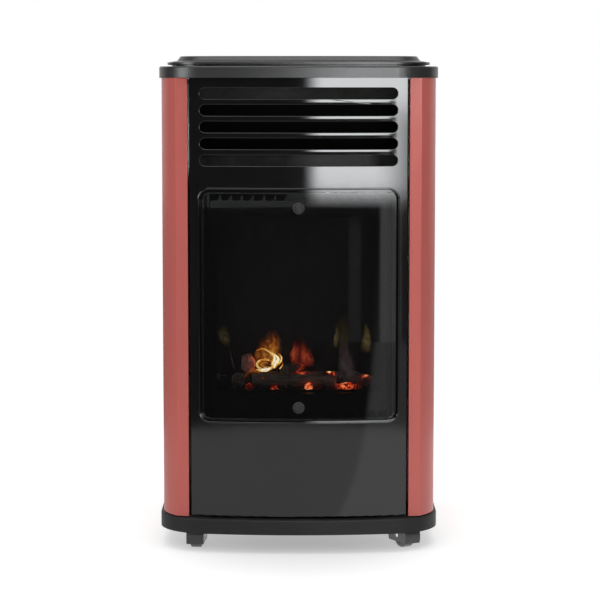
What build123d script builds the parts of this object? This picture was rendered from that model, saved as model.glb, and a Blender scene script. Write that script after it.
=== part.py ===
from build123d import *
import os
from math import sqrt

# A portable gas cabinet heater with a stove-style front: a steel casing on a moulded base with
# four casters, a log-effect firebox behind glass, and a bay for the gas bottle at the back.
# Millimetres. The front faces -Y, +X is to the right seen from the front, +Z is up.
# The origin lies on the floor under the middle of the base.

# ---------------------------------------------------------------- common sheet, gaps and fixings
SHEET = 1.5                  # steel of the casing
THIN_SHEET = 1.2             # steel of the firebox, bulkhead and deflector
RUN_GAP = 0.05               # radial room of a part that turns or slides in a bore
CLEAR_GAP = 0.3              # room between pieces that pass each other
HOLE_GAP = 0.5               # radial room round pipes, bosses and spindles
SCREW_RADIUS = 1.9
SCREW_HEAD_RADIUS = 4.0
SCREW_HEAD_HEIGHT = 2.4
SCREW_GAP = 0.1
ON_FACE = 0.01               # an edge this near a face lies on it
SIDE_SCREW_LENGTH = 9.0
RAIL_SCREW_LENGTH = 5.0

# ---------------------------------------------------------------- base seen from above
DEPTH = 440.0
BASE_HALF_WIDTH = 210.0
BOW_RADIUS = 900.0           # gentle bow of the base and top at the front
CORNER_RADIUS = 75.0         # wide front corners
REAR_CORNER_RADIUS = 25.0
LEAST_CORNER = 4.0           # corner left where an inset uses up the rear corner
SKIRT_WALL = 3.0
SKIRT_DROP = 22.0            # height of the skirt band
DECK_THICKNESS = 3.0
PLINTH_HEIGHT = 2.0          # step that lifts the casing off the deck
PLINTH_INSET = 8.0
BASE_ROUND = 2.0

# ---------------------------------------------------------------- casters
FRONT_CASTER_SIDE_INSET = 56.5   # swivel lines in from the base's sides, front and back
FRONT_CASTER_INSET = 68.0
REAR_CASTER_SIDE_INSET = 47.0
REAR_CASTER_INSET = 50.0
WHEEL_RADIUS = 19.0
WHEEL_WIDTH = 17.0
WHEEL_ROUND = 3.0
HUB_RADIUS = 9.0
HUB_RECESS = 2.0
AXLE_RADIUS = 3.0
WHEEL_GAP = 2.5              # between the tread and the hood
WHEEL_SIDE_GAP = 1.0
HOOD_WALL = 4.0
CHEEK_WALL = 3.5
CHEEK_BOTTOM = 9.0           # height of the cheeks above the floor
TRAIL = 14.0                 # axle behind the swivel line
SWIVEL_BOSS_RADIUS = 9.0
STEM_RADIUS = 4.0
STEM_LENGTH = 20.0
SWIVEL_GAP = 0.5
BUSH_FLANGE = 3.0
BUSH_FLANGE_RADIUS = 12.0
BUSH_RADIUS = 7.0
BUSH_END = 1.5               # closed end of the bush above the stem
BOSS_WALL = 4.0

# ---------------------------------------------------------------- casing
CASING_INSET = 4.4           # casing's straight sides in from the base's
CASING_BACK_INSET = 16.0     # casing's back in from the base's
CASING_HEIGHT = 655.0
CORNER_WIDTH = 23.6          # wide corner, from the crease out to the straight side
LAND_WIDTH = 17.4            # painted panel's front land, from its inner edge to the crease
LAND_SETBACK = 25.0          # land's inner edge behind the base's front
CREASE_SETBACK = 29.0
CORNER_END_SETBACK = 84.0    # where the wide corner meets the straight side
PANEL_FLANGE = 14.0
REAR_RETURN = 21.6           # width of the return that faces the back
FRONT_GAP = 2.6              # groove between the black front and the painted land
FRONT_SETBACK = 12.0         # middle of the black front behind the base's front
FRONT_BOW = 800.0
FRONT_RETURN = 14.0
LAP_HEIGHT = 9.0             # strip of the lower black sheet that holds the upper one from behind
LAP_GAP = 0.05
FOLD_RADIUS = 2.5
FIRST_SCREW_SETBACK = 46.0   # first side screw behind the bulkhead's face
LAST_SCREW_INSET = 39.0      # last side screw in from the casing's back

# ---------------------------------------------------------------- louvres
SLOT_COUNT = 5
SLOT_PITCH = 24.6
SLOT_HEIGHT = 16.3
SLOT_SIDE_MARGIN = 16.0      # slot's end in from the black front's edge
TOP_SLOT_DROP = 23.0         # top slot's middle below the casing's top
SLOT_LIP = 6.0
SLOT_ROUND = 1.2             # rolled edge round each slot

# ---------------------------------------------------------------- window
GLASS_SIDE_MARGIN = 19.0     # glass in from the black front's edge
GLASS_HEIGHT = 338.0
GLASS_CORNER = 11.0
GLASS_THICKNESS = 4.0
GLASS_TOP_DROP = 168.6       # top of the glass below the casing's top
GLASS_GAP = 4.0              # between the glass and the pressed bead
BEAD_WIDTH = 3.0
BEAD_PROUD = 1.5
BEAD_ROUND = 1.2
GASKET_THICKNESS = 1.0
GASKET_WIDTH = 10.0
GASKET_INSET = 2.0
OPENING_CORNER = 8.0
OPENING_SIDE_MARGIN = 21.0   # panel border behind the glass, beside, above and below the opening
OPENING_TOP_MARGIN = 36.0
OPENING_BOTTOM_MARGIN = 39.5
FIXING_MARGIN_TOP = 23.0     # fixings in from the top and bottom edges of the glass
FIXING_MARGIN_BOTTOM = 18.0
FIXING_HEAD_RADIUS = 7.5
FIXING_HEAD_HEIGHT = 4.0
FIXING_GROOVE_RADIUS = 4.6
FIXING_GROOVE = 0.8
FIXING_SHANK_RADIUS = 2.5
FIXING_TAIL = 7.0            # shank behind the panel
FIXING_HOLE_RADIUS = 4.0
WASHER_RADIUS = 8.6
WASHER_THICKNESS = 1.0
NUT_RADIUS = 4.6
NUT_THICKNESS = 4.0

# ---------------------------------------------------------------- firebox and bulkhead
FIREBOX_DEPTH = 102.0        # from the front's middle back to the sheet before the gas bottle
FIREBOX_SIDE_MARGIN = 22.0   # firebox's sides in from the black front's edges
FIREBOX_FLOOR_DROP = 13.0    # below the opening
FIREBOX_ROOF_RISE = 25.0     # above the opening
FLUE_WIDTH = 200.0
FLUE_DEPTH = 40.0
FLUE_SETBACK = 14.0
BURNER_SIDE_ROOM = 45.0      # burner's ends in from the firebox's sides
BURNER_REACH = 41.0          # burner's middle in front of the bulkhead
BURNER_DEPTH = 34.0
BURNER_HEIGHT = 9.0
BURNER_WALL = 1.2
PORT_COUNT = 14
PORT_LENGTH = 18.0
PORT_WIDTH = 3.0
BED_LEFT_ROOM = 35.0         # ember bed in from the firebox's sides, the front and the bulkhead
BED_RIGHT_ROOM = 21.0
BED_FRONT_ROOM = 24.0
BED_BACK_ROOM = 6.0
BED_THICKNESS = 5.0
BED_CORNER = 6.0

# ---------------------------------------------------------------- logs and coals
LOG_SINK = 2.0               # how far a log's round underside is cut flat on the bed
FRONT_LOG_RADIUS = 11.5      # each log's radius at its first end, then at its other end
FRONT_LOG_END_RADIUS = 10.0
FRONT_LOG_LEFT_INSET = 35.0  # log ends in from the bed's left, right, front and back edges
FRONT_LOG_RIGHT_INSET = 63.0
FRONT_LOG_INSET = 23.0
FRONT_LOG_SKEW = 3.0         # how much further back its right end lies
BACK_LOG_RADIUS = 10.0
BACK_LOG_END_RADIUS = 10.5
BACK_LOG_LEFT_INSET = 47.0
BACK_LOG_RIGHT_INSET = 55.0
BACK_LOG_INSET = 9.0
LEFT_LOG_RADIUS = 12.0
LEFT_LOG_END_RADIUS = 9.0
LEFT_LOG_SIDE_INSET = 14.0
LEFT_LOG_SKEW = 9.0
LEFT_LOG_FRONT_INSET = 21.0
LEFT_LOG_BACK_INSET = 10.0
RIGHT_LOG_RADIUS = 9.5
RIGHT_LOG_END_RADIUS = 11.5
RIGHT_LOG_SIDE_INSET = 13.0
RIGHT_LOG_SKEW = 26.0
RIGHT_LOG_FRONT_INSET = 22.0
RIGHT_LOG_BACK_INSET = 16.0
TOP_LOG_RADIUS = 8.0
TOP_LOG_LEFT_INSET = 83.0
TOP_LOG_SLANT = 26.0
COAL_COUNT = 26
COAL_RADIUS = 7.5
SMALL_COAL_RADIUS = 6.0
COAL_SINK = 4.5              # how far a coal's round underside is cut flat

# ---------------------------------------------------------------- pilot group
PILOT_BRACKET_INSET = 10.0   # bracket in from the firebox's left side
PILOT_BRACKET_WIDTH = 40.0
PILOT_BRACKET_HEIGHT = 44.0
PILOT_FOOT = 14.0
PILOT_RADIUS = 4.5
PILOT_LENGTH = 17.0
PILOT_SLOT = 3.0
PROBE_RADIUS = 2.0
PROBE_LENGTH = 18.0
ELECTRODE_RADIUS = 3.0
ELECTRODE_LENGTH = 12.0
ELECTRODE_WIRE_RADIUS = 0.9
ELECTRODE_WIRE_LENGTH = 10.0
PILOT_REACH = 44.0           # pilot, probe and electrode stand this far before the bulkhead
PROBE_REACH = 52.0
SPARK_REACH = 60.0
PILOT_RISE = 13.0            # and this far above the firebox's floor
PROBE_RISE = 23.0
SPARK_RISE = 33.0

# ---------------------------------------------------------------- deflector behind the louvres
DEFLECTOR_SIDE_MARGIN = 12.0     # deflector's ends in from the black front's edges
DEFLECTOR_ROOT_DROP = 120.0  # root on the bulkhead below the casing's top
DEFLECTOR_FLANGE = 16.0
DEFLECTOR_REACH = 44.0       # its bend at the top stands this far before the bulkhead

# ---------------------------------------------------------------- top
LIP_INSET = 1.0
LIP_HEIGHT = 17.0
LIP_WALL = 3.0
LIP_DECK = 3.0
LIP_ROUND = 2.5
RIB_INSET = 4.0
RIB_WALL = 3.0
SHADOW_GAP = 2.5             # gap under the ledge of the top plate
FOOT_INSET = 20.0
LEDGE_INSET = 13.4
LEDGE_THICKNESS = 3.5
SLOPE_START_INSET = 15.0
SLOPE_END_INSET = 28.0
SLOPE_HEIGHT = 2.5
DOME_INSET = 33.0
DOME_HEIGHT = 6.5
DOME_ROUND = 1.5
TOP_WALL = 3.0

# ---------------------------------------------------------------- control tray in the top
TRAY_WIDTH = 190.0
TRAY_DEPTH = 60.0
TRAY_CORNER = 10.0
TRAY_BACK_INSET = 75.0       # tray's middle in from the base's back
TRAY_WALL = 2.5
TRAY_DROP = 27.5             # tray's floor below the top plate's surface
TRAY_FLANGE = 6.0
TRAY_FLANGE_THICKNESS = 2.0
TRAY_RIM_DROP = 0.5          # rim below the top plate's surface
VALVE_X = 45.0
VALVE_WIDTH = 50.0
VALVE_DEPTH = 36.0
VALVE_HEIGHT = 40.0
VALVE_CORNER = 5.0
NECK_RADIUS = 7.0
NECK_HEIGHT = 7.0            # threaded neck above the tray's floor
CONTROL_NUT_RADIUS = 10.0
CONTROL_NUT_THICKNESS = 3.5
SPINDLE_RADIUS = 3.0
SPINDLE_DEPTH = 24.0         # in the valve
SPINDLE_RISE = 17.5          # above the tray's floor
KNOB_RADIUS = 19.0
KNOB_SKIRT_RADIUS = 22.0
KNOB_SKIRT_HEIGHT = 3.0
KNOB_HEIGHT = 20.0
KNOB_LIFT = 4.5              # knob's underside above the tray's floor
KNOB_CAVITY_RADIUS = 12.0
KNOB_CAVITY_DEPTH = 7.5
KNOB_PUSH = 3.0
KNOB_GRIP_WIDTH = 9.0
KNOB_GRIP_DEPTH = 11.0       # grip cut down each side of the finger bar
KNOB_ROUND = 1.2
IGNITER_X = -45.0
IGNITER_RADIUS = 9.0
IGNITER_LENGTH = 42.0
BUTTON_RADIUS = 6.0
BUTTON_RISE = 13.5           # above the tray's floor
BUTTON_DEPTH = 8.0           # below the tray's floor
BUTTON_PUSH = 6.0
BUTTON_ROUND = 1.5

# ---------------------------------------------------------------- gas pipes and leads
GAS_PIPE_RADIUS = 3.0
PILOT_PIPE_RADIUS = 2.0
PROBE_LEAD_RADIUS = 1.3
SPARK_LEAD_RADIUS = 1.5
PIPE_LINE_INSET = 20.6       # pipes run down beside the bottle this far in from the casing
PROBE_LINE_INSET = 30.6
SPARK_LINE_INSET = 40.6
PIPE_BACKING = 21.0          # pipes behind the bulkhead's front face
PIPE_BEND = 24.0
LEAD_BEND = 15.0
GAS_PIPE_DROP = 25.0         # branches of the valve below its top
PILOT_PIPE_DROP = 20.0
PROBE_LEAD_DROP = 30.0
SPARK_LEAD_TAIL = 18.0
LEAD_SPREAD = 13.0           # leads leave the valve this far to each side of its middle
NOZZLE_RADIUS = 4.5
NOZZLE_LENGTH = 20.0
NOZZLE_COLLAR_RADIUS = 8.0
NOZZLE_COLLAR = 8.0
NOZZLE_TIP = 1.0

# ---------------------------------------------------------------- rear cover and its seat
FLOOR_SIDE_GAP = 1.0         # bay floor in from the side panels' rear returns
FLOOR_BACK_INSET = 14.0      # bay floor's back in from the casing's back
FLOOR_LIP = 10.0
RAIL_HEIGHT = 30.0
RAIL_SCREW_INSET = 12.0      # rail screws in from the rail's ends
COVER_GAP = 1.5
COVER_FLANGE = 10.0
COVER_TOP_DROP = 4.0
COVER_BOTTOM_LIFT = 2.0
COVER_CORNER = 6.0
TONGUE_X = 100.0
TONGUE_WIDTH = 20.0
TONGUE_THICKNESS = 2.0
TONGUE_LIFT = 5.0
TONGUE_REACH = 22.0
STUD_X = 140.0
STUD_DROP = 18.0             # studs below the casing's top
STUD_RADIUS = 3.0
STUD_REACH = 19.0
STUD_HEAD_RADIUS = 6.0
STUD_HEAD_HEIGHT = 2.0
GROMMET_RADIUS = 5.0
GROMMET_FLANGE_RADIUS = 7.0
GROMMET_FLANGE = 1.2
VENT_COLUMNS = 3
VENT_ROWS = 6
VENT_LENGTH = 80.0
VENT_HEIGHT = 6.0
VENT_SPACING_X = 105.0
VENT_SPACING_Z = 14.0
VENT_FOOT_MARGIN = 60.0      # lower bank of vents above the cover's bottom
VENT_HEAD_MARGIN = 90.0      # upper bank below the cover's top
GRIP_WIDTH = 96.0
GRIP_HEIGHT = 24.0
GRIP_DROP = 48.0             # grip slot below the casing's top, above the vents
GRIP_LIP = 7.0

# ---------------------------------------------------------------- heights that follow
HOOD_TOP = 2 * WHEEL_RADIUS + WHEEL_GAP + HOOD_WALL
DECK_BOTTOM = HOOD_TOP + SWIVEL_GAP + BUSH_FLANGE
DECK_TOP = DECK_BOTTOM + DECK_THICKNESS
SKIRT_BOTTOM = DECK_TOP - SKIRT_DROP
SOCKET_TOP = HOOD_TOP + STEM_LENGTH + CLEAR_GAP + BUSH_END
CASING_BOTTOM = DECK_TOP + PLINTH_HEIGHT
CASING_TOP = CASING_BOTTOM + CASING_HEIGHT
LIP_TOP = CASING_TOP + LIP_HEIGHT
LEDGE_BOTTOM = LIP_TOP + SHADOW_GAP
LEDGE_TOP = LEDGE_BOTTOM + LEDGE_THICKNESS
SLOPE_TOP = LEDGE_TOP + SLOPE_HEIGHT
TOP_SURFACE = SLOPE_TOP + DOME_HEIGHT
GLASS_TOP = CASING_TOP - GLASS_TOP_DROP
GLASS_BOTTOM = GLASS_TOP - GLASS_HEIGHT
GLASS_MIDDLE = (GLASS_TOP + GLASS_BOTTOM) / 2
BEAD_TOP = GLASS_TOP + GLASS_GAP + BEAD_WIDTH
LOWEST_SLOT = CASING_TOP - TOP_SLOT_DROP - (SLOT_COUNT - 1) * SLOT_PITCH - SLOT_HEIGHT / 2
FRONT_JOIN = (LOWEST_SLOT + BEAD_TOP) / 2
OPENING_TOP = GLASS_TOP - OPENING_TOP_MARGIN
OPENING_BOTTOM = GLASS_BOTTOM + OPENING_BOTTOM_MARGIN
FIXING_HEIGHTS = [GLASS_TOP - FIXING_MARGIN_TOP, GLASS_BOTTOM + FIXING_MARGIN_BOTTOM]
FIREBOX_BOTTOM = OPENING_BOTTOM - FIREBOX_FLOOR_DROP
FIREBOX_TOP = OPENING_TOP + FIREBOX_ROOF_RISE
FIREBOX_FLOOR = FIREBOX_BOTTOM + THIN_SHEET
BED_BOTTOM = FIREBOX_FLOOR + BURNER_HEIGHT
BED_TOP = BED_BOTTOM + BED_THICKNESS
BURNER_AXIS_Z = FIREBOX_FLOOR + BURNER_HEIGHT / 2
PILOT_Z = FIREBOX_FLOOR + PILOT_RISE
PROBE_Z = FIREBOX_FLOOR + PROBE_RISE
SPARK_Z = FIREBOX_FLOOR + SPARK_RISE
TRAY_FLOOR = TOP_SURFACE - TRAY_DROP
TRAY_UNDERSIDE = TRAY_FLOOR - TRAY_WALL
TONGUE_Z = CASING_BOTTOM + TONGUE_LIFT
STUD_Z = CASING_TOP - STUD_DROP

# ---------------------------------------------------------------- widths that follow
CASING_HALF_WIDTH = BASE_HALF_WIDTH - CASING_INSET
LAND_OUTER_X = CASING_HALF_WIDTH - CORNER_WIDTH
LAND_INNER_X = LAND_OUTER_X - LAND_WIDTH
FRONT_HALF_WIDTH = LAND_INNER_X - FRONT_GAP
SLOT_LENGTH = 2 * (FRONT_HALF_WIDTH - SLOT_SIDE_MARGIN)
GLASS_WIDTH = 2 * (FRONT_HALF_WIDTH - GLASS_SIDE_MARGIN)
OPENING_WIDTH = GLASS_WIDTH - 2 * OPENING_SIDE_MARGIN
FIREBOX_HALF_WIDTH = FRONT_HALF_WIDTH - FIREBOX_SIDE_MARGIN
DEFLECTOR_HALF_WIDTH = FRONT_HALF_WIDTH - DEFLECTOR_SIDE_MARGIN
BURNER_HALF_LENGTH = FIREBOX_HALF_WIDTH - BURNER_SIDE_ROOM
BED_LEFT_X = BED_LEFT_ROOM - FIREBOX_HALF_WIDTH
BED_RIGHT_X = FIREBOX_HALF_WIDTH - BED_RIGHT_ROOM
PILOT_BRACKET_X = PILOT_BRACKET_INSET - FIREBOX_HALF_WIDTH
PIPE_LINE_X = CASING_HALF_WIDTH - PIPE_LINE_INSET
PROBE_LINE_X = CASING_HALF_WIDTH - PROBE_LINE_INSET
SPARK_LINE_X = CASING_HALF_WIDTH - SPARK_LINE_INSET
LEAD_START_X = VALVE_X - VALVE_WIDTH / 2
RAIL_HALF_WIDTH = CASING_HALF_WIDTH - REAR_RETURN
RAIL_SCREW_X = RAIL_HALF_WIDTH - RAIL_SCREW_INSET
FLOOR_HALF_WIDTH = RAIL_HALF_WIDTH - FLOOR_SIDE_GAP
FLANGE_MIDDLE_X = CASING_HALF_WIDTH - PANEL_FLANGE / 2
TOP_SCREW_X = CASING_HALF_WIDTH - RIB_INSET - RIB_WALL / 2

# ---------------------------------------------------------------- depths that follow
BASE_FRONT_Y = -DEPTH / 2
BASE_BACK_Y = DEPTH / 2
FRONT_Y = BASE_FRONT_Y + FRONT_SETBACK
FRONT_CENTRE_Y = FRONT_Y + FRONT_BOW
FRONT_EDGE_Y = FRONT_CENTRE_Y - sqrt(FRONT_BOW**2 - FRONT_HALF_WIDTH**2)
FRONT_BACK_Y = FRONT_EDGE_Y + FRONT_RETURN
LAND_Y = BASE_FRONT_Y + LAND_SETBACK
CREASE_Y = BASE_FRONT_Y + CREASE_SETBACK
CORNER_END_Y = BASE_FRONT_Y + CORNER_END_SETBACK
CASING_BACK_Y = BASE_BACK_Y - CASING_BACK_INSET
POCKET_DEPTH = GLASS_THICKNESS + GASKET_THICKNESS
POCKET_BACK = POCKET_DEPTH + SHEET
BULKHEAD_Y = FRONT_Y + FIREBOX_DEPTH
BURNER_Y = BULKHEAD_Y - BURNER_REACH
BED_FRONT_Y = FRONT_Y + BED_FRONT_ROOM
BED_BACK_Y = BULKHEAD_Y - BED_BACK_ROOM
PILOT_Y = BULKHEAD_Y - PILOT_REACH
PROBE_Y = BULKHEAD_Y - PROBE_REACH
SPARK_Y = BULKHEAD_Y - SPARK_REACH
PIPE_Y = BULKHEAD_Y + PIPE_BACKING
TRAY_Y = BASE_BACK_Y - TRAY_BACK_INSET
FLOOR_BACK_Y = CASING_BACK_Y - FLOOR_BACK_INSET
RAIL_BACK_Y = FLOOR_BACK_Y + SHEET
COVER_SKIN_Y = CASING_BACK_Y - SHEET
FIRST_SCREW_Y = BULKHEAD_Y + FIRST_SCREW_SETBACK
LAST_SCREW_Y = CASING_BACK_Y - LAST_SCREW_INSET
SIDE_SCREW_YS = [FIRST_SCREW_Y, (FIRST_SCREW_Y + LAST_SCREW_Y) / 2, LAST_SCREW_Y]

# ---------------------------------------------------------------- places that follow
FRONT_CASTER_X = BASE_HALF_WIDTH - FRONT_CASTER_SIDE_INSET
FRONT_CASTER_Y = BASE_FRONT_Y + FRONT_CASTER_INSET
REAR_CASTER_X = BASE_HALF_WIDTH - REAR_CASTER_SIDE_INSET
REAR_CASTER_Y = BASE_BACK_Y - REAR_CASTER_INSET
# name, place on the base, and the way the wheel trails, in degrees from straight back
CASTERS = [
    ("front_left", -FRONT_CASTER_X, FRONT_CASTER_Y, -4),
    ("front_right", FRONT_CASTER_X, FRONT_CASTER_Y, 28),
    ("rear_left", -REAR_CASTER_X, REAR_CASTER_Y, -14),
    ("rear_right", REAR_CASTER_X, REAR_CASTER_Y, 20),
]
# both ends of each lying log, and its radius at each end
FRONT_LOG_Y = BED_FRONT_Y + FRONT_LOG_INSET
BACK_LOG_Y = BED_BACK_Y - BACK_LOG_INSET
FRONT_LOG = [
    (BED_LEFT_X + FRONT_LOG_LEFT_INSET, FRONT_LOG_Y),
    (BED_RIGHT_X - FRONT_LOG_RIGHT_INSET, FRONT_LOG_Y + FRONT_LOG_SKEW),
    FRONT_LOG_RADIUS, FRONT_LOG_END_RADIUS,
]
BACK_LOG = [
    (BED_LEFT_X + BACK_LOG_LEFT_INSET, BACK_LOG_Y),
    (BED_RIGHT_X - BACK_LOG_RIGHT_INSET, BACK_LOG_Y),
    BACK_LOG_RADIUS, BACK_LOG_END_RADIUS,
]
LEFT_LOG_X = BED_LEFT_X + LEFT_LOG_SIDE_INSET
LEFT_LOG = [
    (LEFT_LOG_X, BED_FRONT_Y + LEFT_LOG_FRONT_INSET),
    (LEFT_LOG_X + LEFT_LOG_SKEW, BED_BACK_Y - LEFT_LOG_BACK_INSET),
    LEFT_LOG_RADIUS, LEFT_LOG_END_RADIUS,
]
RIGHT_LOG_X = BED_RIGHT_X - RIGHT_LOG_SIDE_INSET
RIGHT_LOG = [
    (RIGHT_LOG_X, BED_FRONT_Y + RIGHT_LOG_FRONT_INSET),
    (RIGHT_LOG_X - RIGHT_LOG_SKEW, BED_BACK_Y - RIGHT_LOG_BACK_INSET),
    RIGHT_LOG_RADIUS, RIGHT_LOG_END_RADIUS,
]
TOP_LOG_X = BED_LEFT_X + TOP_LOG_LEFT_INSET
# depth, height and radius of what the pilot bracket holds
PILOT_PLACES = [
    (PILOT_Y, PILOT_Z, PILOT_RADIUS),
    (PROBE_Y, PROBE_Z, PROBE_RADIUS),
    (SPARK_Y, SPARK_Z, ELECTRODE_RADIUS),
]
# side, depth, height and radius of each pipe or lead that enters the firebox
SIDE_ENTRIES = [
    (1, BURNER_Y, BURNER_AXIS_Z, GAS_PIPE_RADIUS),
    (-1, PILOT_Y, PILOT_Z, PILOT_PIPE_RADIUS),
    (-1, PROBE_Y, PROBE_Z, PROBE_LEAD_RADIUS),
    (-1, SPARK_Y, SPARK_Z, SPARK_LEAD_RADIUS),
]
# place along X, height and radius of each pipe or lead through the bulkhead
BULKHEAD_HOLES = [
    (PIPE_LINE_X, BURNER_AXIS_Z, GAS_PIPE_RADIUS),
    (-PIPE_LINE_X, PILOT_Z, PILOT_PIPE_RADIUS),
    (-PROBE_LINE_X, PROBE_Z, PROBE_LEAD_RADIUS),
    (-SPARK_LINE_X, SPARK_Z, SPARK_LEAD_RADIUS),
]
BASE_SCREWS = [(side * FLANGE_MIDDLE_X, y, DECK_BOTTOM) for side in (-1, 1) for y in SIDE_SCREW_YS]
TOP_SCREWS = [
    (side * TOP_SCREW_X, y, CASING_TOP - SHEET) for side in (-1, 1) for y in SIDE_SCREW_YS
]
RAIL_SCREWS = [(side * RAIL_SCREW_X, RAIL_BACK_Y, STUD_Z) for side in (-1, 1)]
UP = (0, 0, 1)
FORWARD = (0, -1, 0)


# ---------------------------------------------------------------- shared shapes
def at_height(face, low, high):
    """Prism that stands on a plan face between two heights."""
    return extrude(Pos(0, 0, low) * face, amount=high - low)


def facing_front(face, front_y, back_y):
    """Prism of an outline seen from the front (X across, Z up) between two depths."""
    plane = Plane(origin=(0, back_y, 0), x_dir=(1, 0, 0), z_dir=(0, -1, 0))
    return extrude(plane * face, amount=back_y - front_y)


def rod(start, end, radius, end_radius=None):
    """Round bar, or a tapering one, between two points."""
    line = Line(start, end)
    first = Plane(origin=start, z_dir=line % 0)
    if end_radius is None:
        return extrude(first * Circle(radius), amount=line.length)
    last = Plane(origin=end, z_dir=line % 1)
    return loft([first * Circle(radius), last * Circle(end_radius)])


def base_plan(inset=0.0):
    """Plan of the base and the top: bowed front, wide front corners, straight sides and back."""
    half = BASE_HALF_WIDTH - inset
    front = BASE_FRONT_Y + inset
    back = BASE_BACK_Y - inset
    bow = BOW_RADIUS - inset
    side = front + bow - sqrt(bow**2 - half**2)
    outline = Curve() + [
        ThreePointArc((-half, side), (0, front), (half, side)),
        Polyline((half, side), (half, back), (-half, back), (-half, side)),
    ]
    face = make_face(outline)
    face = fillet(face.vertices().sort_by(Axis.Y)[:2], CORNER_RADIUS - inset)
    rear_corner = max(REAR_CORNER_RADIUS - inset, LEAST_CORNER)
    return fillet(face.vertices().sort_by(Axis.Y)[-2:], rear_corner)


def casing_plan(inset=0.0):
    """Plan of the painted casing: front land, crease, wide corner, straight side, flat back."""
    half = CASING_HALF_WIDTH
    outline = Curve() + [
        Polyline(
            (-LAND_OUTER_X, CREASE_Y), (-LAND_INNER_X, LAND_Y),
            (LAND_INNER_X, LAND_Y), (LAND_OUTER_X, CREASE_Y),
        ),
        TangentArc((half, CORNER_END_Y), (LAND_OUTER_X, CREASE_Y), tangent=(0, -1)),
        Polyline(
            (half, CORNER_END_Y), (half, CASING_BACK_Y), (-half, CASING_BACK_Y),
            (-half, CORNER_END_Y),
        ),
        TangentArc((-half, CORNER_END_Y), (-LAND_OUTER_X, CREASE_Y), tangent=(0, -1)),
    ]
    face = make_face(outline)
    return offset(face, amount=-inset) if inset else face


def bowed_plan(depth, back_y, half_width):
    """Plan area behind the bowed front: starts at a depth behind its face, ends at back_y."""
    radius = FRONT_BOW - depth
    edge_y = FRONT_CENTRE_Y - sqrt(radius**2 - half_width**2)
    outline = Curve() + [
        ThreePointArc(
            (-half_width, edge_y), (0, FRONT_CENTRE_Y - radius), (half_width, edge_y)
        ),
        Polyline(
            (half_width, edge_y), (half_width, back_y), (-half_width, back_y),
            (-half_width, edge_y),
        ),
    ]
    return make_face(outline)


def bowed_sheet(outline, near, far):
    """Part of a bowed sheet inside an outline seen from the front, between two depths."""
    box = outline.bounding_box()
    half = max(abs(box.min.X), abs(box.max.X)) + SHEET
    slab_plan = bowed_plan(near, 0, half) - bowed_plan(far, 0, half)
    slab = at_height(slab_plan, box.min.Y - SHEET, box.max.Y + SHEET)
    return slab & facing_front(outline, BASE_FRONT_Y, FRONT_BACK_Y)


def edges_on_bow(shape, depth, low, high, half_width):
    """Edges on the bowed face at a depth, between two heights and within a half width."""
    radius = FRONT_BOW - depth

    def lies_there(edge):
        return all(
            abs(sqrt(point.X**2 + (point.Y - FRONT_CENTRE_Y) ** 2) - radius) < ON_FACE
            and low < point.Z < high
            and abs(point.X) < half_width
            for point in (edge @ 0, edge @ 0.5, edge @ 1)
        )

    return shape.edges().filter_by(lies_there)


def parted_faces(solid):
    """The same solid with its bowed faces parted at the middle, so that each spans half the bow."""
    halves = split(solid, bisect_by=Plane.YZ, keep=Keep.BOTH).solids()
    faces = [face for half in halves for face in half.faces() if abs(face.center().X) > ON_FACE]
    return Solid(Shell(faces))


def window_outline(grow):
    """Rounded outline of the glass seen from the front, grown or drawn in."""
    width = GLASS_WIDTH + 2 * grow
    height = GLASS_HEIGHT + 2 * grow
    corner = max(GLASS_CORNER + grow, LEAST_CORNER)
    return Pos(0, GLASS_MIDDLE) * RectangleRounded(width, height, corner)


def slot_outlines(grow):
    """The louvre slots seen from the front, grown by a margin."""
    slots = Sketch()
    for index in range(SLOT_COUNT):
        height = CASING_TOP - TOP_SLOT_DROP - index * SLOT_PITCH
        slots += Pos(0, height) * SlotOverall(SLOT_LENGTH + 2 * grow, SLOT_HEIGHT + 2 * grow)
    return slots


def screw(point, direction, length):
    """Pan-head screw: the head sits on the face at the point, the shank runs along direction."""
    plane = Plane(origin=point, z_dir=direction)
    shank = extrude(plane * Circle(SCREW_RADIUS), amount=length)
    head = extrude(plane * Circle(SCREW_HEAD_RADIUS), amount=-SCREW_HEAD_HEIGHT)
    rim = head.edges().filter_by(GeomType.CIRCLE).sort_by(plane_axis(plane))[0]
    return fillet(rim, SCREW_HEAD_HEIGHT / 2) + shank


def plane_axis(plane):
    """Axis along a plane's normal."""
    return Axis(plane.origin, plane.z_dir)


def screw_hole(point, direction, length):
    """Room for a screw's shank, from just outside the face it goes in by."""
    plane = Plane(origin=point, z_dir=direction).offset(-SHEET)
    return extrude(plane * Circle(SCREW_RADIUS + SCREW_GAP), amount=length + 2 * SHEET)


# ---------------------------------------------------------------- base and floor
def base_tray():
    """Moulded base: skirt, deck, plinth under the casing and four caster bosses."""
    block = at_height(base_plan(), SKIRT_BOTTOM, DECK_TOP)
    block = fillet(block.edges().group_by(Axis.Z)[-1], BASE_ROUND)
    tray = block - at_height(base_plan(SKIRT_WALL), SKIRT_BOTTOM - DECK_THICKNESS, DECK_BOTTOM)
    tray += at_height(casing_plan(PLINTH_INSET), DECK_TOP, CASING_BOTTOM)
    for _, x, y, _ in CASTERS:
        boss = Pos(x, y) * Circle(BUSH_RADIUS + BOSS_WALL)
        bore = Pos(x, y) * Circle(BUSH_RADIUS)
        tray += at_height(boss, DECK_TOP, SOCKET_TOP)
        tray -= at_height(bore, DECK_BOTTOM, SOCKET_TOP)
    for point in BASE_SCREWS:
        tray -= screw_hole(point, UP, SIDE_SCREW_LENGTH)
    return tray


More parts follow.
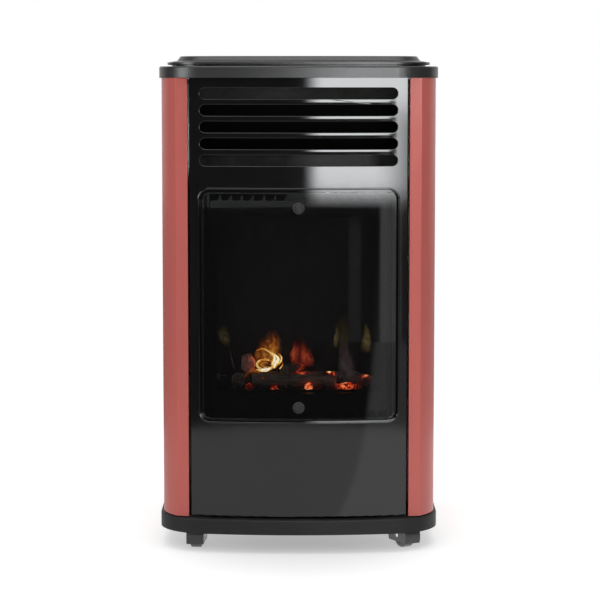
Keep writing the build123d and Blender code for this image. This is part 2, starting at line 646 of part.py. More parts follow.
def floor_plate():
    """Folded steel floor of the bottle bay with a low lip; the rear lip takes the cover's tongues."""
    front = BULKHEAD_Y + THIN_SHEET
    depth = FLOOR_BACK_Y - front
    middle = Pos(0, (FLOOR_BACK_Y + front) / 2)
    tray = middle * Rectangle(2 * FLOOR_HALF_WIDTH, depth)
    inside = middle * Rectangle(2 * (FLOOR_HALF_WIDTH - SHEET), depth - 2 * SHEET)
    plate = at_height(tray, CASING_BOTTOM, CASING_BOTTOM + FLOOR_LIP)
    plate -= at_height(inside, CASING_BOTTOM + SHEET, CASING_BOTTOM + FLOOR_LIP)
    for _, x, y, _ in CASTERS:
        room = Pos(x, y) * Circle(BUSH_RADIUS + BOSS_WALL + HOLE_GAP)
        plate -= at_height(room, CASING_BOTTOM, SOCKET_TOP)
    for x in (-TONGUE_X, TONGUE_X):
        width = TONGUE_WIDTH + 2 * CLEAR_GAP
        slot = Pos(x, TONGUE_Z) * Rectangle(width, TONGUE_THICKNESS + 2 * CLEAR_GAP)
        plate -= facing_front(slot, FLOOR_BACK_Y - 2 * SHEET, FLOOR_BACK_Y + SHEET)
    return plate


# ---------------------------------------------------------------- casing
def right_side_panel():
    """Painted side: land, crease, corner and side in one sheet, with flanges all round."""
    front_part = Pos(CASING_HALF_WIDTH + LAND_INNER_X, BASE_FRONT_Y) * Rectangle(
        2 * CASING_HALF_WIDTH, 2 * DEPTH
    )
    rear_room = Pos(RAIL_HALF_WIDTH - CASING_HALF_WIDTH, CASING_BACK_Y) * Rectangle(
        2 * CASING_HALF_WIDTH, CASING_BACK_Y
    )
    wall = ((casing_plan() - casing_plan(SHEET)) & front_part) - rear_room
    flange = ((casing_plan() - casing_plan(PANEL_FLANGE)) & front_part) - rear_room
    returns = Pos(LAND_INNER_X + SHEET / 2, LAND_Y + PANEL_FLANGE / 2 + SHEET / 4) * Rectangle(
        SHEET, PANEL_FLANGE - SHEET / 2
    )
    returns += Pos(RAIL_HALF_WIDTH + SHEET / 2, CASING_BACK_Y - PANEL_FLANGE / 2) * Rectangle(
        SHEET, PANEL_FLANGE
    )
    panel = at_height(wall + returns, CASING_BOTTOM, CASING_TOP)
    panel += at_height(flange, CASING_BOTTOM, CASING_BOTTOM + SHEET)
    panel += at_height(flange, CASING_TOP - SHEET, CASING_TOP)
    for y in SIDE_SCREW_YS:
        panel -= screw_hole((FLANGE_MIDDLE_X, y, DECK_BOTTOM), UP, SIDE_SCREW_LENGTH)
        panel -= screw_hole((TOP_SCREW_X, y, CASING_TOP - SHEET), UP, SHEET)
    return panel


def black_front(low, high):
    """The bowed black sheet with its folded edges, from one height to another."""
    block = at_height(bowed_plan(0, FRONT_BACK_Y, FRONT_HALF_WIDTH), CASING_BOTTOM, CASING_TOP)
    uprights = block.edges().filter_by(Axis.Z).sort_by(Axis.Y)[:2]
    foot = block.edges().filter_by(GeomType.CIRCLE).sort_by(Axis.Z)[0]
    block = fillet(uprights + [foot], FOLD_RADIUS)
    inner = bowed_plan(SHEET, FRONT_BACK_Y + SHEET, FRONT_HALF_WIDTH - SHEET)
    sheet = block - at_height(inner, CASING_BOTTOM + SHEET, CASING_TOP - SHEET)
    return sheet & at_height(base_plan(), low, high)


def louvre_panel():
    """Upper part of the black front with five slots, each with a rolled edge and a lip inside."""
    panel = black_front(FRONT_JOIN, CASING_TOP)
    panel -= bowed_sheet(slot_outlines(0), -SHEET, 2 * SHEET)
    panel += bowed_sheet(slot_outlines(SHEET) - slot_outlines(0), 0, SLOT_LIP)
    rims = edges_on_bow(panel, 0, FRONT_JOIN + ON_FACE, CASING_TOP - SHEET, FRONT_HALF_WIDTH - SHEET)
    return parted_faces(fillet(rims, SLOT_ROUND))


def front_panel():
    """Lower part of the black front: a pressed pocket for the window, and a lap for the louvres."""
    panel = black_front(CASING_BOTTOM, FRONT_JOIN)
    pocket = window_outline(GLASS_GAP)
    opening_height = OPENING_TOP - OPENING_BOTTOM
    opening = Pos(0, (OPENING_TOP + OPENING_BOTTOM) / 2) * RectangleRounded(
        OPENING_WIDTH, opening_height, OPENING_CORNER
    )
    border = window_outline(GLASS_GAP + SHEET)
    panel -= bowed_sheet(pocket, -SHEET, 2 * SHEET)
    bead = bowed_sheet(window_outline(GLASS_GAP + BEAD_WIDTH) - pocket, -BEAD_PROUD, SHEET)
    crest = edges_on_bow(bead, -BEAD_PROUD, CASING_BOTTOM, CASING_TOP, FRONT_HALF_WIDTH)
    panel += fillet(crest, BEAD_ROUND)
    panel += bowed_sheet(border - pocket, 0, POCKET_BACK)
    panel += bowed_sheet(border - opening, POCKET_DEPTH, POCKET_BACK)
    lap_width = 2 * (FRONT_HALF_WIDTH - FOLD_RADIUS - SHEET)
    seat = Pos(0, FRONT_JOIN - LAP_HEIGHT / 2) * Rectangle(lap_width, LAP_HEIGHT)
    tab = Pos(0, FRONT_JOIN + LAP_HEIGHT / 2) * Rectangle(lap_width, LAP_HEIGHT)
    panel += bowed_sheet(seat, SHEET / 2, 2 * SHEET + LAP_GAP)
    panel += bowed_sheet(tab, SHEET + LAP_GAP, 2 * SHEET + LAP_GAP)
    for height in FIXING_HEIGHTS:
        hole = Pos(0, height) * Circle(FIXING_SHANK_RADIUS + SCREW_GAP)
        panel -= facing_front(hole, FRONT_Y, FRONT_Y + 2 * POCKET_BACK)
    return panel


# ---------------------------------------------------------------- window
def window_glass():
    """Bowed tempered glass with two fixing holes."""
    outline = window_outline(0)
    for height in FIXING_HEIGHTS:
        outline -= Pos(0, height) * Circle(FIXING_HOLE_RADIUS)
    return bowed_sheet(outline, 0, GLASS_THICKNESS)


def glass_gasket():
    """Woven tape between the glass and the panel."""
    ring = window_outline(-GASKET_INSET) - window_outline(-GASKET_INSET - GASKET_WIDTH)
    return bowed_sheet(ring, GLASS_THICKNESS, POCKET_DEPTH)


def glass_fixing(height):
    """Round-headed screw with a ring turned in its face."""
    head_back = FRONT_Y - WASHER_THICKNESS
    head_front = head_back - FIXING_HEAD_HEIGHT
    at = Pos(0, height)
    head = facing_front(at * Circle(FIXING_HEAD_RADIUS), head_front, head_back)
    rim = head.edges().filter_by(GeomType.CIRCLE).sort_by(Axis.Y)[0]
    head = fillet(rim, FIXING_HEAD_HEIGHT / 2)
    ring = Circle(FIXING_GROOVE_RADIUS) - Circle(FIXING_GROOVE_RADIUS - FIXING_GROOVE)
    head -= facing_front(at * ring, head_front, head_front + FIXING_GROOVE)
    tail = FRONT_Y + POCKET_BACK + FIXING_TAIL
    return head + facing_front(at * Circle(FIXING_SHANK_RADIUS), head_back, tail)


def glass_washer(height):
    """Fibre washer under a fixing's head."""
    ring = Circle(WASHER_RADIUS) - Circle(FIXING_SHANK_RADIUS + SCREW_GAP)
    return facing_front(Pos(0, height) * ring, FRONT_Y - WASHER_THICKNESS, FRONT_Y)


def glass_nut(height):
    """Hexagon nut behind the panel."""
    ring = RegularPolygon(NUT_RADIUS, 6) - Circle(FIXING_SHANK_RADIUS + SCREW_GAP)
    front = FRONT_Y + POCKET_BACK + SCREW_GAP
    return facing_front(Pos(0, height) * ring, front, front + NUT_THICKNESS)


# ---------------------------------------------------------------- firebox
def firebox_shell():
    """Folded steel box open to the window, with a flue gap in its roof and holes for the leads."""
    back = BULKHEAD_Y
    outer = bowed_plan(POCKET_BACK, back, FIREBOX_HALF_WIDTH)
    inner = bowed_plan(SHEET, back - THIN_SHEET, FIREBOX_HALF_WIDTH - THIN_SHEET)
    shell = at_height(outer, FIREBOX_BOTTOM, FIREBOX_TOP)
    shell -= at_height(inner, FIREBOX_FLOOR, FIREBOX_TOP - THIN_SHEET)
    flue = Pos(0, back - FLUE_SETBACK - FLUE_DEPTH / 2) * Rectangle(FLUE_WIDTH, FLUE_DEPTH)
    shell -= at_height(flue, FIREBOX_TOP - 2 * THIN_SHEET, FIREBOX_TOP)
    for side, y, z, radius in SIDE_ENTRIES:
        start = (side * (FIREBOX_HALF_WIDTH - 2 * THIN_SHEET), y, z)
        end = (side * (FIREBOX_HALF_WIDTH + THIN_SHEET), y, z)
        shell -= rod(start, end, radius + HOLE_GAP)
    return shell


def bulkhead():
    """Steel sheet across the cabinet between the fire and the gas bottle."""
    half = CASING_HALF_WIDTH - SHEET
    low = CASING_BOTTOM + SHEET
    high = CASING_TOP - SHEET
    outline = Pos(0, (low + high) / 2) * Rectangle(2 * half, high - low)
    sheet = facing_front(outline, BULKHEAD_Y, BULKHEAD_Y + THIN_SHEET)
    for side in (-1, 1):
        flange = Pos(side * (half - THIN_SHEET / 2), BULKHEAD_Y + PANEL_FLANGE / 2) * Rectangle(
            THIN_SHEET, PANEL_FLANGE
        )
        sheet += at_height(flange, low, high)
    for x, height, radius in BULKHEAD_HOLES:
        hole = Pos(x, height) * Circle(radius + HOLE_GAP)
        sheet -= facing_front(hole, BULKHEAD_Y - THIN_SHEET, BULKHEAD_Y + 2 * THIN_SHEET)
    return sheet


def gas_ports():
    """The row of port slots along the burner, seen from above."""
    row = GridLocations(2 * BURNER_HALF_LENGTH / PORT_COUNT, 0, PORT_COUNT, 1)
    port = Rectangle(PORT_WIDTH, PORT_LENGTH)
    return Sketch() + [Pos(0, BURNER_Y) * spot * port for spot in row]


def burner():
    """Box burner with a row of gas ports along its top."""
    centre = Pos(0, BURNER_Y)
    length = 2 * BURNER_HALF_LENGTH
    inside = Rectangle(length - 2 * BURNER_WALL, BURNER_DEPTH - 2 * BURNER_WALL)
    box = at_height(centre * Rectangle(length, BURNER_DEPTH), FIREBOX_FLOOR, BED_BOTTOM)
    box -= at_height(centre * inside, FIREBOX_FLOOR + BURNER_WALL, BED_BOTTOM - BURNER_WALL)
    return box - at_height(gas_ports(), BED_BOTTOM - 2 * BURNER_WALL, BED_BOTTOM)


def ember_bed():
    """Ceramic plate over the burner that carries the coals and logs."""
    width = BED_RIGHT_X - BED_LEFT_X
    depth = BED_BACK_Y - BED_FRONT_Y
    centre = Pos((BED_LEFT_X + BED_RIGHT_X) / 2, (BED_FRONT_Y + BED_BACK_Y) / 2)
    plate = at_height(centre * RectangleRounded(width, depth, BED_CORNER), BED_BOTTOM, BED_TOP)
    return plate - at_height(gas_ports(), BED_BOTTOM, BED_TOP)


def on_bed(solid):
    """The part of a solid that stands above the ember bed."""
    box = solid.bounding_box()
    sole = Pos(box.center().X, box.center().Y) * Rectangle(2 * box.size.X, 2 * box.size.Y)
    return solid - at_height(sole, BED_TOP - box.size.Z, BED_TOP)


def lying_log(ends):
    """Ceramic log that lies on the bed, thicker at one end."""
    (start_x, start_y), (end_x, end_y), start_radius, end_radius = ends
    start = (start_x, start_y, BED_TOP + start_radius - LOG_SINK)
    end = (end_x, end_y, BED_TOP + end_radius - LOG_SINK)
    return on_bed(rod(start, end, start_radius, end_radius))


def log_crest(ends, x):
    """Height of a lying log's back at a place along X."""
    (start_x, _), (end_x, _), start_radius, end_radius = ends
    share = (x - start_x) / (end_x - start_x)
    return BED_TOP - LOG_SINK + 2 * (start_radius + share * (end_radius - start_radius))


def top_log():
    """Thin log laid across the front and back logs."""
    lift = TOP_LOG_RADIUS + CLEAR_GAP
    far_x = TOP_LOG_X + TOP_LOG_SLANT
    start = (TOP_LOG_X, FRONT_LOG_Y - TOP_LOG_RADIUS, log_crest(FRONT_LOG, TOP_LOG_X) + lift)
    end = (far_x, BACK_LOG_Y + TOP_LOG_RADIUS, log_crest(BACK_LOG, far_x) + lift)
    return rod(start, end, TOP_LOG_RADIUS)


def ember_coals():
    """Coals strewn over the free parts of the bed, each cut flat where it lies."""
    coals = []
    logs = [lying_log(ends) for ends in (FRONT_LOG, BACK_LOG, LEFT_LOG, RIGHT_LOG)]
    rows = [BED_FRONT_Y + COAL_RADIUS, (FRONT_LOG_Y + BACK_LOG_Y) / 2]
    per_row = COAL_COUNT // len(rows)
    step = (BED_RIGHT_X - BED_LEFT_X - 2 * COAL_RADIUS) / (per_row - 1)
    for row, y in enumerate(rows):
        for place in range(per_row):
            radius = SMALL_COAL_RADIUS if (place + row) % 2 else COAL_RADIUS
            x = BED_LEFT_X + COAL_RADIUS + place * step
            coal = on_bed(Pos(x, y, BED_TOP + radius - COAL_SINK) * Sphere(radius))
            if all((coal & log).volume == 0 for log in logs):
                coals.append(coal)
    return coals


# ---------------------------------------------------------------- pilot group
def pilot_bracket():
    """Folded bracket beside the burner that holds pilot, probe and electrode."""
    foot_x = PILOT_BRACKET_X + PILOT_FOOT / 2
    foot = Pos(foot_x, PROBE_Y) * Rectangle(PILOT_FOOT, PILOT_BRACKET_WIDTH)
    wall = Pos(PILOT_BRACKET_X + THIN_SHEET / 2, PROBE_Y) * Rectangle(
        THIN_SHEET, PILOT_BRACKET_WIDTH
    )
    bracket = at_height(foot, FIREBOX_FLOOR, FIREBOX_FLOOR + THIN_SHEET)
    bracket += at_height(wall, FIREBOX_FLOOR, FIREBOX_FLOOR + PILOT_BRACKET_HEIGHT)
    for y, z, radius in PILOT_PLACES:
        start = (PILOT_BRACKET_X - THIN_SHEET, y, z)
        bracket -= rod(start, (PILOT_BRACKET_X + 2 * THIN_SHEET, y, z), radius)
    return bracket


def from_bracket(y, z, length, radius):
    """Rod that reaches inward from the back of the bracket."""
    return rod((PILOT_BRACKET_X, y, z), (PILOT_BRACKET_X + length, y, z), radius)


def pilot_burner():
    """Pilot jet with a slot across its mouth."""
    jet = from_bracket(PILOT_Y, PILOT_Z, PILOT_LENGTH, PILOT_RADIUS)
    mouth = Pos(PILOT_BRACKET_X + PILOT_LENGTH, PILOT_Y) * Rectangle(2 * PILOT_SLOT, PILOT_SLOT)
    return jet - at_height(mouth, PILOT_Z - 2 * PILOT_RADIUS, PILOT_Z + 2 * PILOT_RADIUS)


def thermocouple():
    """Flame-failure probe with a rounded tip."""
    probe = from_bracket(PROBE_Y, PROBE_Z, PROBE_LENGTH, PROBE_RADIUS)
    tip = probe.edges().filter_by(GeomType.CIRCLE).sort_by(Axis.X)[-1]
    return fillet(tip, PROBE_RADIUS / 2)


def spark_electrode():
    """Ceramic body with the spark wire."""
    body = from_bracket(SPARK_Y, SPARK_Z, ELECTRODE_LENGTH, ELECTRODE_RADIUS)
    reach = ELECTRODE_LENGTH + ELECTRODE_WIRE_LENGTH
    return body + from_bracket(SPARK_Y, SPARK_Z, reach, ELECTRODE_WIRE_RADIUS)


# ---------------------------------------------------------------- deflector
def louvre_deflector():
    """Bent sheet that turns the hot air forward, out of the louvres."""
    root_z = CASING_TOP - DEFLECTOR_ROOT_DROP
    root_y = BULKHEAD_Y - THIN_SHEET / 2
    crest_z = CASING_TOP - SHEET - THIN_SHEET / 2
    line = Polyline(
        (root_y, root_z - DEFLECTOR_FLANGE), (root_y, root_z),
        (BULKHEAD_Y - DEFLECTOR_REACH, crest_z),
        (FRONT_BACK_Y - FRONT_RETURN / 2, crest_z),
    )
    profile = Plane.YZ.offset(-DEFLECTOR_HALF_WIDTH) * trace(line, line_width=THIN_SHEET)
    return extrude(profile, amount=2 * DEFLECTOR_HALF_WIDTH)


# ---------------------------------------------------------------- top
def tray_outline(grow):
    """Plan of the control tray, grown by a margin."""
    return Pos(0, TRAY_Y) * RectangleRounded(
        TRAY_WIDTH + 2 * grow, TRAY_DEPTH + 2 * grow, TRAY_CORNER + grow
    )


def top_frame():
    """Moulded lip and deck on the casing, with a rib that stands on its flanges."""
    block = at_height(base_plan(LIP_INSET), CASING_TOP, LIP_TOP)
    block = fillet(block.edges().group_by(Axis.Z)[-1], LIP_ROUND)
    room = at_height(base_plan(LIP_INSET + LIP_WALL), CASING_TOP, LIP_TOP - LIP_DECK)
    frame = block - room
    rib = casing_plan(RIB_INSET) - casing_plan(RIB_INSET + RIB_WALL)
    frame += at_height(rib, CASING_TOP, LIP_TOP - LIP_DECK)
    frame -= at_height(tray_outline(HOLE_GAP), CASING_TOP, LIP_TOP)
    for point in TOP_SCREWS:
        frame -= screw_hole(point, UP, SIDE_SCREW_LENGTH)
    return frame


def top_plate():
    """Raised top: narrow foot, ledge, slope and dome, hollow underneath."""
    plate = at_height(base_plan(FOOT_INSET), LIP_TOP, LEDGE_BOTTOM)
    plate += at_height(base_plan(LEDGE_INSET), LEDGE_BOTTOM, LEDGE_TOP)
    slope_foot = Pos(0, 0, LEDGE_TOP) * base_plan(SLOPE_START_INSET)
    slope_head = Pos(0, 0, SLOPE_TOP) * base_plan(SLOPE_END_INSET)
    plate += loft([slope_foot, slope_head], ruled=True)
    dome_head = Pos(0, 0, TOP_SURFACE) * base_plan(DOME_INSET)
    dome = loft([slope_head, dome_head], ruled=True)
    plate += fillet(dome.edges().group_by(Axis.Z)[-1], DOME_ROUND)
    plate -= at_height(base_plan(DOME_INSET + TOP_WALL), LIP_TOP, TOP_SURFACE - TOP_WALL)
    return plate - at_height(tray_outline(HOLE_GAP), LIP_TOP, TOP_SURFACE)


def control_tray():
    """Moulded well for the controls; its flange lies on the top frame's deck."""
    rim = TOP_SURFACE - TRAY_RIM_DROP
    tray = at_height(tray_outline(0), TRAY_UNDERSIDE, rim)
    tray -= at_height(tray_outline(-TRAY_WALL), TRAY_FLOOR, rim)
    flange = tray_outline(TRAY_FLANGE) - tray_outline(-TRAY_WALL / 2)
    tray += at_height(flange, LIP_TOP, LIP_TOP + TRAY_FLANGE_THICKNESS)
    for x in (VALVE_X, IGNITER_X):
        hole = Pos(x, TRAY_Y) * Circle(NECK_RADIUS + SCREW_GAP)
        tray -= at_height(hole, TRAY_UNDERSIDE, TRAY_FLOOR)
    return tray


# ---------------------------------------------------------------- controls
def gas_valve():
    """Valve block under the tray with a threaded neck; the spindle turns in it."""
    centre = Pos(VALVE_X, TRAY_Y)
    block = at_height(
        centre * RectangleRounded(VALVE_WIDTH, VALVE_DEPTH, VALVE_CORNER),
        TRAY_UNDERSIDE - VALVE_HEIGHT, TRAY_UNDERSIDE,
    )
    block += at_height(centre * Circle(NECK_RADIUS), TRAY_UNDERSIDE, TRAY_FLOOR + NECK_HEIGHT)
    bore_low = TRAY_FLOOR - SPINDLE_DEPTH - CLEAR_GAP
    bore = centre * Circle(SPINDLE_RADIUS + RUN_GAP)
    return block - at_height(bore, bore_low, TRAY_FLOOR + NECK_HEIGHT)


def valve_spindle():
    """Spindle that the knob turns."""
    bar = Pos(VALVE_X, TRAY_Y) * Circle(SPINDLE_RADIUS)
    return at_height(bar, TRAY_FLOOR - SPINDLE_DEPTH, TRAY_FLOOR + SPINDLE_RISE)


def control_knob():
    """Round knob with a skirt and a finger bar; it slides down its spindle when pushed."""
    centre = Pos(VALVE_X, TRAY_Y)
    low = TRAY_FLOOR + KNOB_LIFT
    high = low + KNOB_HEIGHT
    knob = at_height(centre * Circle(KNOB_RADIUS), low, high)
    side_width = KNOB_RADIUS - KNOB_GRIP_WIDTH / 2
    for side in (-1, 1):
        cheek = Pos(VALVE_X + side * (KNOB_GRIP_WIDTH / 2 + side_width / 2), TRAY_Y) * Rectangle(
            side_width, 2 * KNOB_RADIUS
        )
        knob -= at_height(cheek, high - KNOB_GRIP_DEPTH, high)
    knob = fillet(knob.edges().group_by(Axis.Z)[-1], KNOB_ROUND)
    knob += at_height(centre * Circle(KNOB_SKIRT_RADIUS), low, low + KNOB_SKIRT_HEIGHT)
    cavity_top = low + KNOB_CAVITY_DEPTH
    knob -= at_height(centre * Circle(KNOB_CAVITY_RADIUS), low, cavity_top)
    bore_top = TRAY_FLOOR + SPINDLE_RISE + KNOB_PUSH + CLEAR_GAP
    return knob - at_height(centre * Circle(SPINDLE_RADIUS + RUN_GAP), low, bore_top)


def piezo_igniter():
    """Piezo body under the tray with a threaded neck that guides the button."""
    centre = Pos(IGNITER_X, TRAY_Y)
    body = at_height(centre * Circle(IGNITER_RADIUS), TRAY_UNDERSIDE - IGNITER_LENGTH, TRAY_UNDERSIDE)
    body += at_height(centre * Circle(NECK_RADIUS), TRAY_UNDERSIDE, TRAY_FLOOR + NECK_HEIGHT)
    bore = centre * Circle(BUTTON_RADIUS + RUN_GAP)
    bore_low = TRAY_FLOOR - BUTTON_DEPTH - BUTTON_PUSH - CLEAR_GAP
    return body - at_height(bore, bore_low, TRAY_FLOOR + NECK_HEIGHT)


def igniter_button():
    """Push button of the piezo igniter."""
    bar = Pos(IGNITER_X, TRAY_Y) * Circle(BUTTON_RADIUS)
    button = at_height(bar, TRAY_FLOOR - BUTTON_DEPTH, TRAY_FLOOR + BUTTON_RISE)
    return fillet(button.edges().group_by(Axis.Z)[-1], BUTTON_ROUND)


def control_nut(x):
    """Nut that holds a control's neck in the tray."""
    ring = RegularPolygon(CONTROL_NUT_RADIUS, 6) - Circle(NECK_RADIUS + SCREW_GAP)
    return at_height(Pos(x, TRAY_Y) * ring, TRAY_FLOOR, TRAY_FLOOR + CONTROL_NUT_THICKNESS)


def hose_nozzle():
    """Inlet under the valve: collar and plain tail for the gas hose."""
    centre = Pos(VALVE_X, TRAY_Y)
    top = TRAY_UNDERSIDE - VALVE_HEIGHT
    collar = at_height(centre * RegularPolygon(NOZZLE_COLLAR_RADIUS, 6), top - NOZZLE_COLLAR, top)
    low = top - NOZZLE_COLLAR - NOZZLE_LENGTH
    tail = at_height(centre * Circle(NOZZLE_RADIUS), low, top)
    tail = chamfer(tail.edges().group_by(Axis.Z)[0], NOZZLE_TIP)
    bore = centre * Circle(NOZZLE_RADIUS / 2)
    return collar + tail - at_height(bore, low, top)


# ---------------------------------------------------------------- pipes and leads
def tube(points, bend, radius):
    """Round tube along straight runs joined by tangent arcs."""
    path = FilletPolyline(*points, radius=bend)
    start = Plane(origin=path @ 0, z_dir=path % 0)
    return sweep(start * Circle(radius), path=path)


def burner_pipe():
    """Gas pipe from the valve round the bottle bay to the end of the burner."""
    top = TRAY_UNDERSIDE - GAS_PIPE_DROP
    low = BURNER_AXIS_Z
    return tube(
        [
            (VALVE_X + VALVE_WIDTH / 2, TRAY_Y, top), (PIPE_LINE_X, TRAY_Y, top),
            (PIPE_LINE_X, PIPE_Y, top), (PIPE_LINE_X, PIPE_Y, low),
            (PIPE_LINE_X, BURNER_Y, low), (BURNER_HALF_LENGTH, BURNER_Y, low),
        ],
        PIPE_BEND, GAS_PIPE_RADIUS,
    )


def side_line(y_shift, top, line_x, place, low, radius):
    """Thin pipe or lead from the valve down the left of the bay and forward to the pilot bracket."""
    start_y = TRAY_Y + y_shift
    return tube(
        [
            (LEAD_START_X, start_y, top), (-line_x, start_y, top), (-line_x, PIPE_Y, top),
            (-line_x, PIPE_Y, low), (-line_x, place, low), (PILOT_BRACKET_X, place, low),
        ],
        LEAD_BEND, radius,
    )


def pilot_pipe():
    """Thin gas pipe from the valve to the pilot."""
    top = TRAY_UNDERSIDE - PILOT_PIPE_DROP
    return side_line(-LEAD_SPREAD, top, PIPE_LINE_X, PILOT_Y, PILOT_Z, PILOT_PIPE_RADIUS)


def thermocouple_lead():
    """Lead from the probe to the valve's safety coil."""
    top = TRAY_UNDERSIDE - PROBE_LEAD_DROP
    return side_line(LEAD_SPREAD, top, PROBE_LINE_X, PROBE_Y, PROBE_Z, PROBE_LEAD_RADIUS)


def ignition_lead():
    """High-voltage lead from the piezo body to the electrode."""
    igniter_foot = TRAY_UNDERSIDE - IGNITER_LENGTH
    top = igniter_foot - SPARK_LEAD_TAIL
    return tube(
        [
            (IGNITER_X, TRAY_Y, igniter_foot), (IGNITER_X, TRAY_Y, top),
            (-SPARK_LINE_X, TRAY_Y, top), (-SPARK_LINE_X, PIPE_Y, top),
            (-SPARK_LINE_X, PIPE_Y, SPARK_Z), (-SPARK_LINE_X, SPARK_Y, SPARK_Z),
            (PILOT_BRACKET_X, SPARK_Y, SPARK_Z),
        ],
        LEAD_BEND, SPARK_LEAD_RADIUS,
    )


# ---------------------------------------------------------------- rear
def rear_rail():
    """Steel rail across the top of the bay, between the side panels' returns."""
    high = CASING_TOP - SHEET
    outline = Pos(0, high - RAIL_HEIGHT / 2) * Rectangle(2 * RAIL_HALF_WIDTH, RAIL_HEIGHT)
    for x in (-STUD_X, STUD_X):
        outline -= Pos(x, STUD_Z) * Circle(GROMMET_RADIUS)
    rail = facing_front(outline, FLOOR_BACK_Y, RAIL_BACK_Y)
    foot = Pos(0, FLOOR_BACK_Y - PANEL_FLANGE / 2 + SHEET / 2) * Rectangle(
        2 * RAIL_HALF_WIDTH, PANEL_FLANGE + SHEET
    )
    rail += at_height(foot, high - SHEET, high)
    for point in RAIL_SCREWS:
        rail -= screw_hole(point, FORWARD, RAIL_SCREW_LENGTH)
    return rail


def cover_grommet(x):
    """Nylon grommet in the rail that grips a stud of the rear cover."""
    bore = Circle(STUD_RADIUS + CLEAR_GAP)
    at = Pos(x, STUD_Z)
    body = at * (Circle(GROMMET_RADIUS) - bore)
    flange = at * (Circle(GROMMET_FLANGE_RADIUS) - bore)
    grommet = facing_front(body, FLOOR_BACK_Y, RAIL_BACK_Y)
    grommet += facing_front(flange, RAIL_BACK_Y, RAIL_BACK_Y + GROMMET_FLANGE)
    return grommet + facing_front(flange, FLOOR_BACK_Y - GROMMET_FLANGE, FLOOR_BACK_Y)


def rear_cover():
    """Lift-off steel back with vents, a grip slot and two tongues at its foot."""
    half = RAIL_HALF_WIDTH - COVER_GAP
    low = CASING_BOTTOM + COVER_BOTTOM_LIFT
    high = CASING_TOP - COVER_TOP_DROP
    middle = (low + high) / 2
    height = high - low
    outer = Pos(0, middle) * RectangleRounded(2 * half, height, COVER_CORNER)
    inner = Pos(0, middle) * RectangleRounded(
        2 * (half - SHEET), height - 2 * SHEET, COVER_CORNER - SHEET
    )
    front = CASING_BACK_Y - COVER_FLANGE
    cover = facing_front(outer, front, CASING_BACK_Y)
    cover -= facing_front(inner, front, COVER_SKIN_Y)
    bank_spots = GridLocations(VENT_SPACING_X, VENT_SPACING_Z, VENT_COLUMNS, VENT_ROWS)
    vents = Sketch() + [spot * SlotOverall(VENT_LENGTH, VENT_HEIGHT) for spot in bank_spots]
    half_bank = (VENT_ROWS - 1) * VENT_SPACING_Z / 2
    for bank in (low + VENT_FOOT_MARGIN + half_bank, high - VENT_HEAD_MARGIN - half_bank):
        cover -= facing_front(Pos(0, bank) * vents, COVER_SKIN_Y, CASING_BACK_Y)
    grip = Pos(0, CASING_TOP - GRIP_DROP)
    cover -= facing_front(grip * SlotOverall(GRIP_WIDTH, GRIP_HEIGHT), COVER_SKIN_Y, CASING_BACK_Y)
    lip = SlotOverall(GRIP_WIDTH + 2 * SHEET, GRIP_HEIGHT + 2 * SHEET)
    lip -= SlotOverall(GRIP_WIDTH, GRIP_HEIGHT)
    cover += facing_front(grip * lip, CASING_BACK_Y - GRIP_LIP, CASING_BACK_Y)
    for x in (-TONGUE_X, TONGUE_X):
        tongue = Pos(x, TONGUE_Z) * Rectangle(TONGUE_WIDTH, TONGUE_THICKNESS)
        cover += facing_front(tongue, COVER_SKIN_Y - TONGUE_REACH, COVER_SKIN_Y)
    for x in (-STUD_X, STUD_X):
        hole = Pos(x, STUD_Z) * Circle(STUD_RADIUS)
        cover -= facing_front(hole, COVER_SKIN_Y, CASING_BACK_Y)
    return cover


def cover_stud(x):
    """Stud through the cover that snaps into a grommet."""
    at = Pos(x, STUD_Z)
    stud = facing_front(at * Circle(STUD_RADIUS), COVER_SKIN_Y - STUD_REACH, CASING_BACK_Y)
    tip = stud.edges().filter_by(GeomType.CIRCLE).sort_by(Axis.Y)[0]
    stud = fillet(tip, STUD_RADIUS / 2)
    head = at * Circle(STUD_HEAD_RADIUS)
    return stud + facing_front(head, CASING_BACK_Y, CASING_BACK_Y + STUD_HEAD_HEIGHT)


# ---------------------------------------------------------------- casters
def placed(solid, x, y, turn):
    """A caster piece moved from the caster's own frame, where it trails along +X, to the base."""
    return Pos(x, y, 0) * Rot(0, 0, turn - 90) * solid


def caster_fork():
    """Moulded hood with two cheeks and a steel stem; swivel line on Z, axle along Y."""
    axle = Pos(TRAIL, WHEEL_RADIUS)
    half = WHEEL_WIDTH / 2 + WHEEL_SIDE_GAP + CHEEK_WALL
    hood_radius = WHEEL_RADIUS + WHEEL_GAP + HOOD_WALL
    boss = Pos((TRAIL - SWIVEL_BOSS_RADIUS) / 2, (WHEEL_RADIUS + HOOD_TOP) / 2) * Rectangle(
        TRAIL + SWIVEL_BOSS_RADIUS, HOOD_TOP - WHEEL_RADIUS
    )
    below = Pos(TRAIL, CHEEK_BOTTOM - hood_radius) * Rectangle(4 * hood_radius, 2 * hood_radius)
    hood = facing_front(axle * Circle(hood_radius) + boss - below, -half, half)
    wheel_room = axle * Circle(WHEEL_RADIUS + WHEEL_GAP)
    wheel_room += Pos(TRAIL, 0) * Rectangle(
        2 * (WHEEL_RADIUS + WHEEL_GAP), 2 * WHEEL_RADIUS
    )
    slot = WHEEL_WIDTH / 2 + WHEEL_SIDE_GAP
    hood -= facing_front(wheel_room, -slot, slot)
    hood -= facing_front(axle * Circle(AXLE_RADIUS), -half, half)
    return hood + at_height(Circle(STEM_RADIUS), HOOD_TOP, HOOD_TOP + STEM_LENGTH)


def caster_axle():
    """Steel pin between the cheeks."""
    half = WHEEL_WIDTH / 2 + WHEEL_SIDE_GAP + CHEEK_WALL
    return facing_front(Pos(TRAIL, WHEEL_RADIUS) * Circle(AXLE_RADIUS), -half, half)


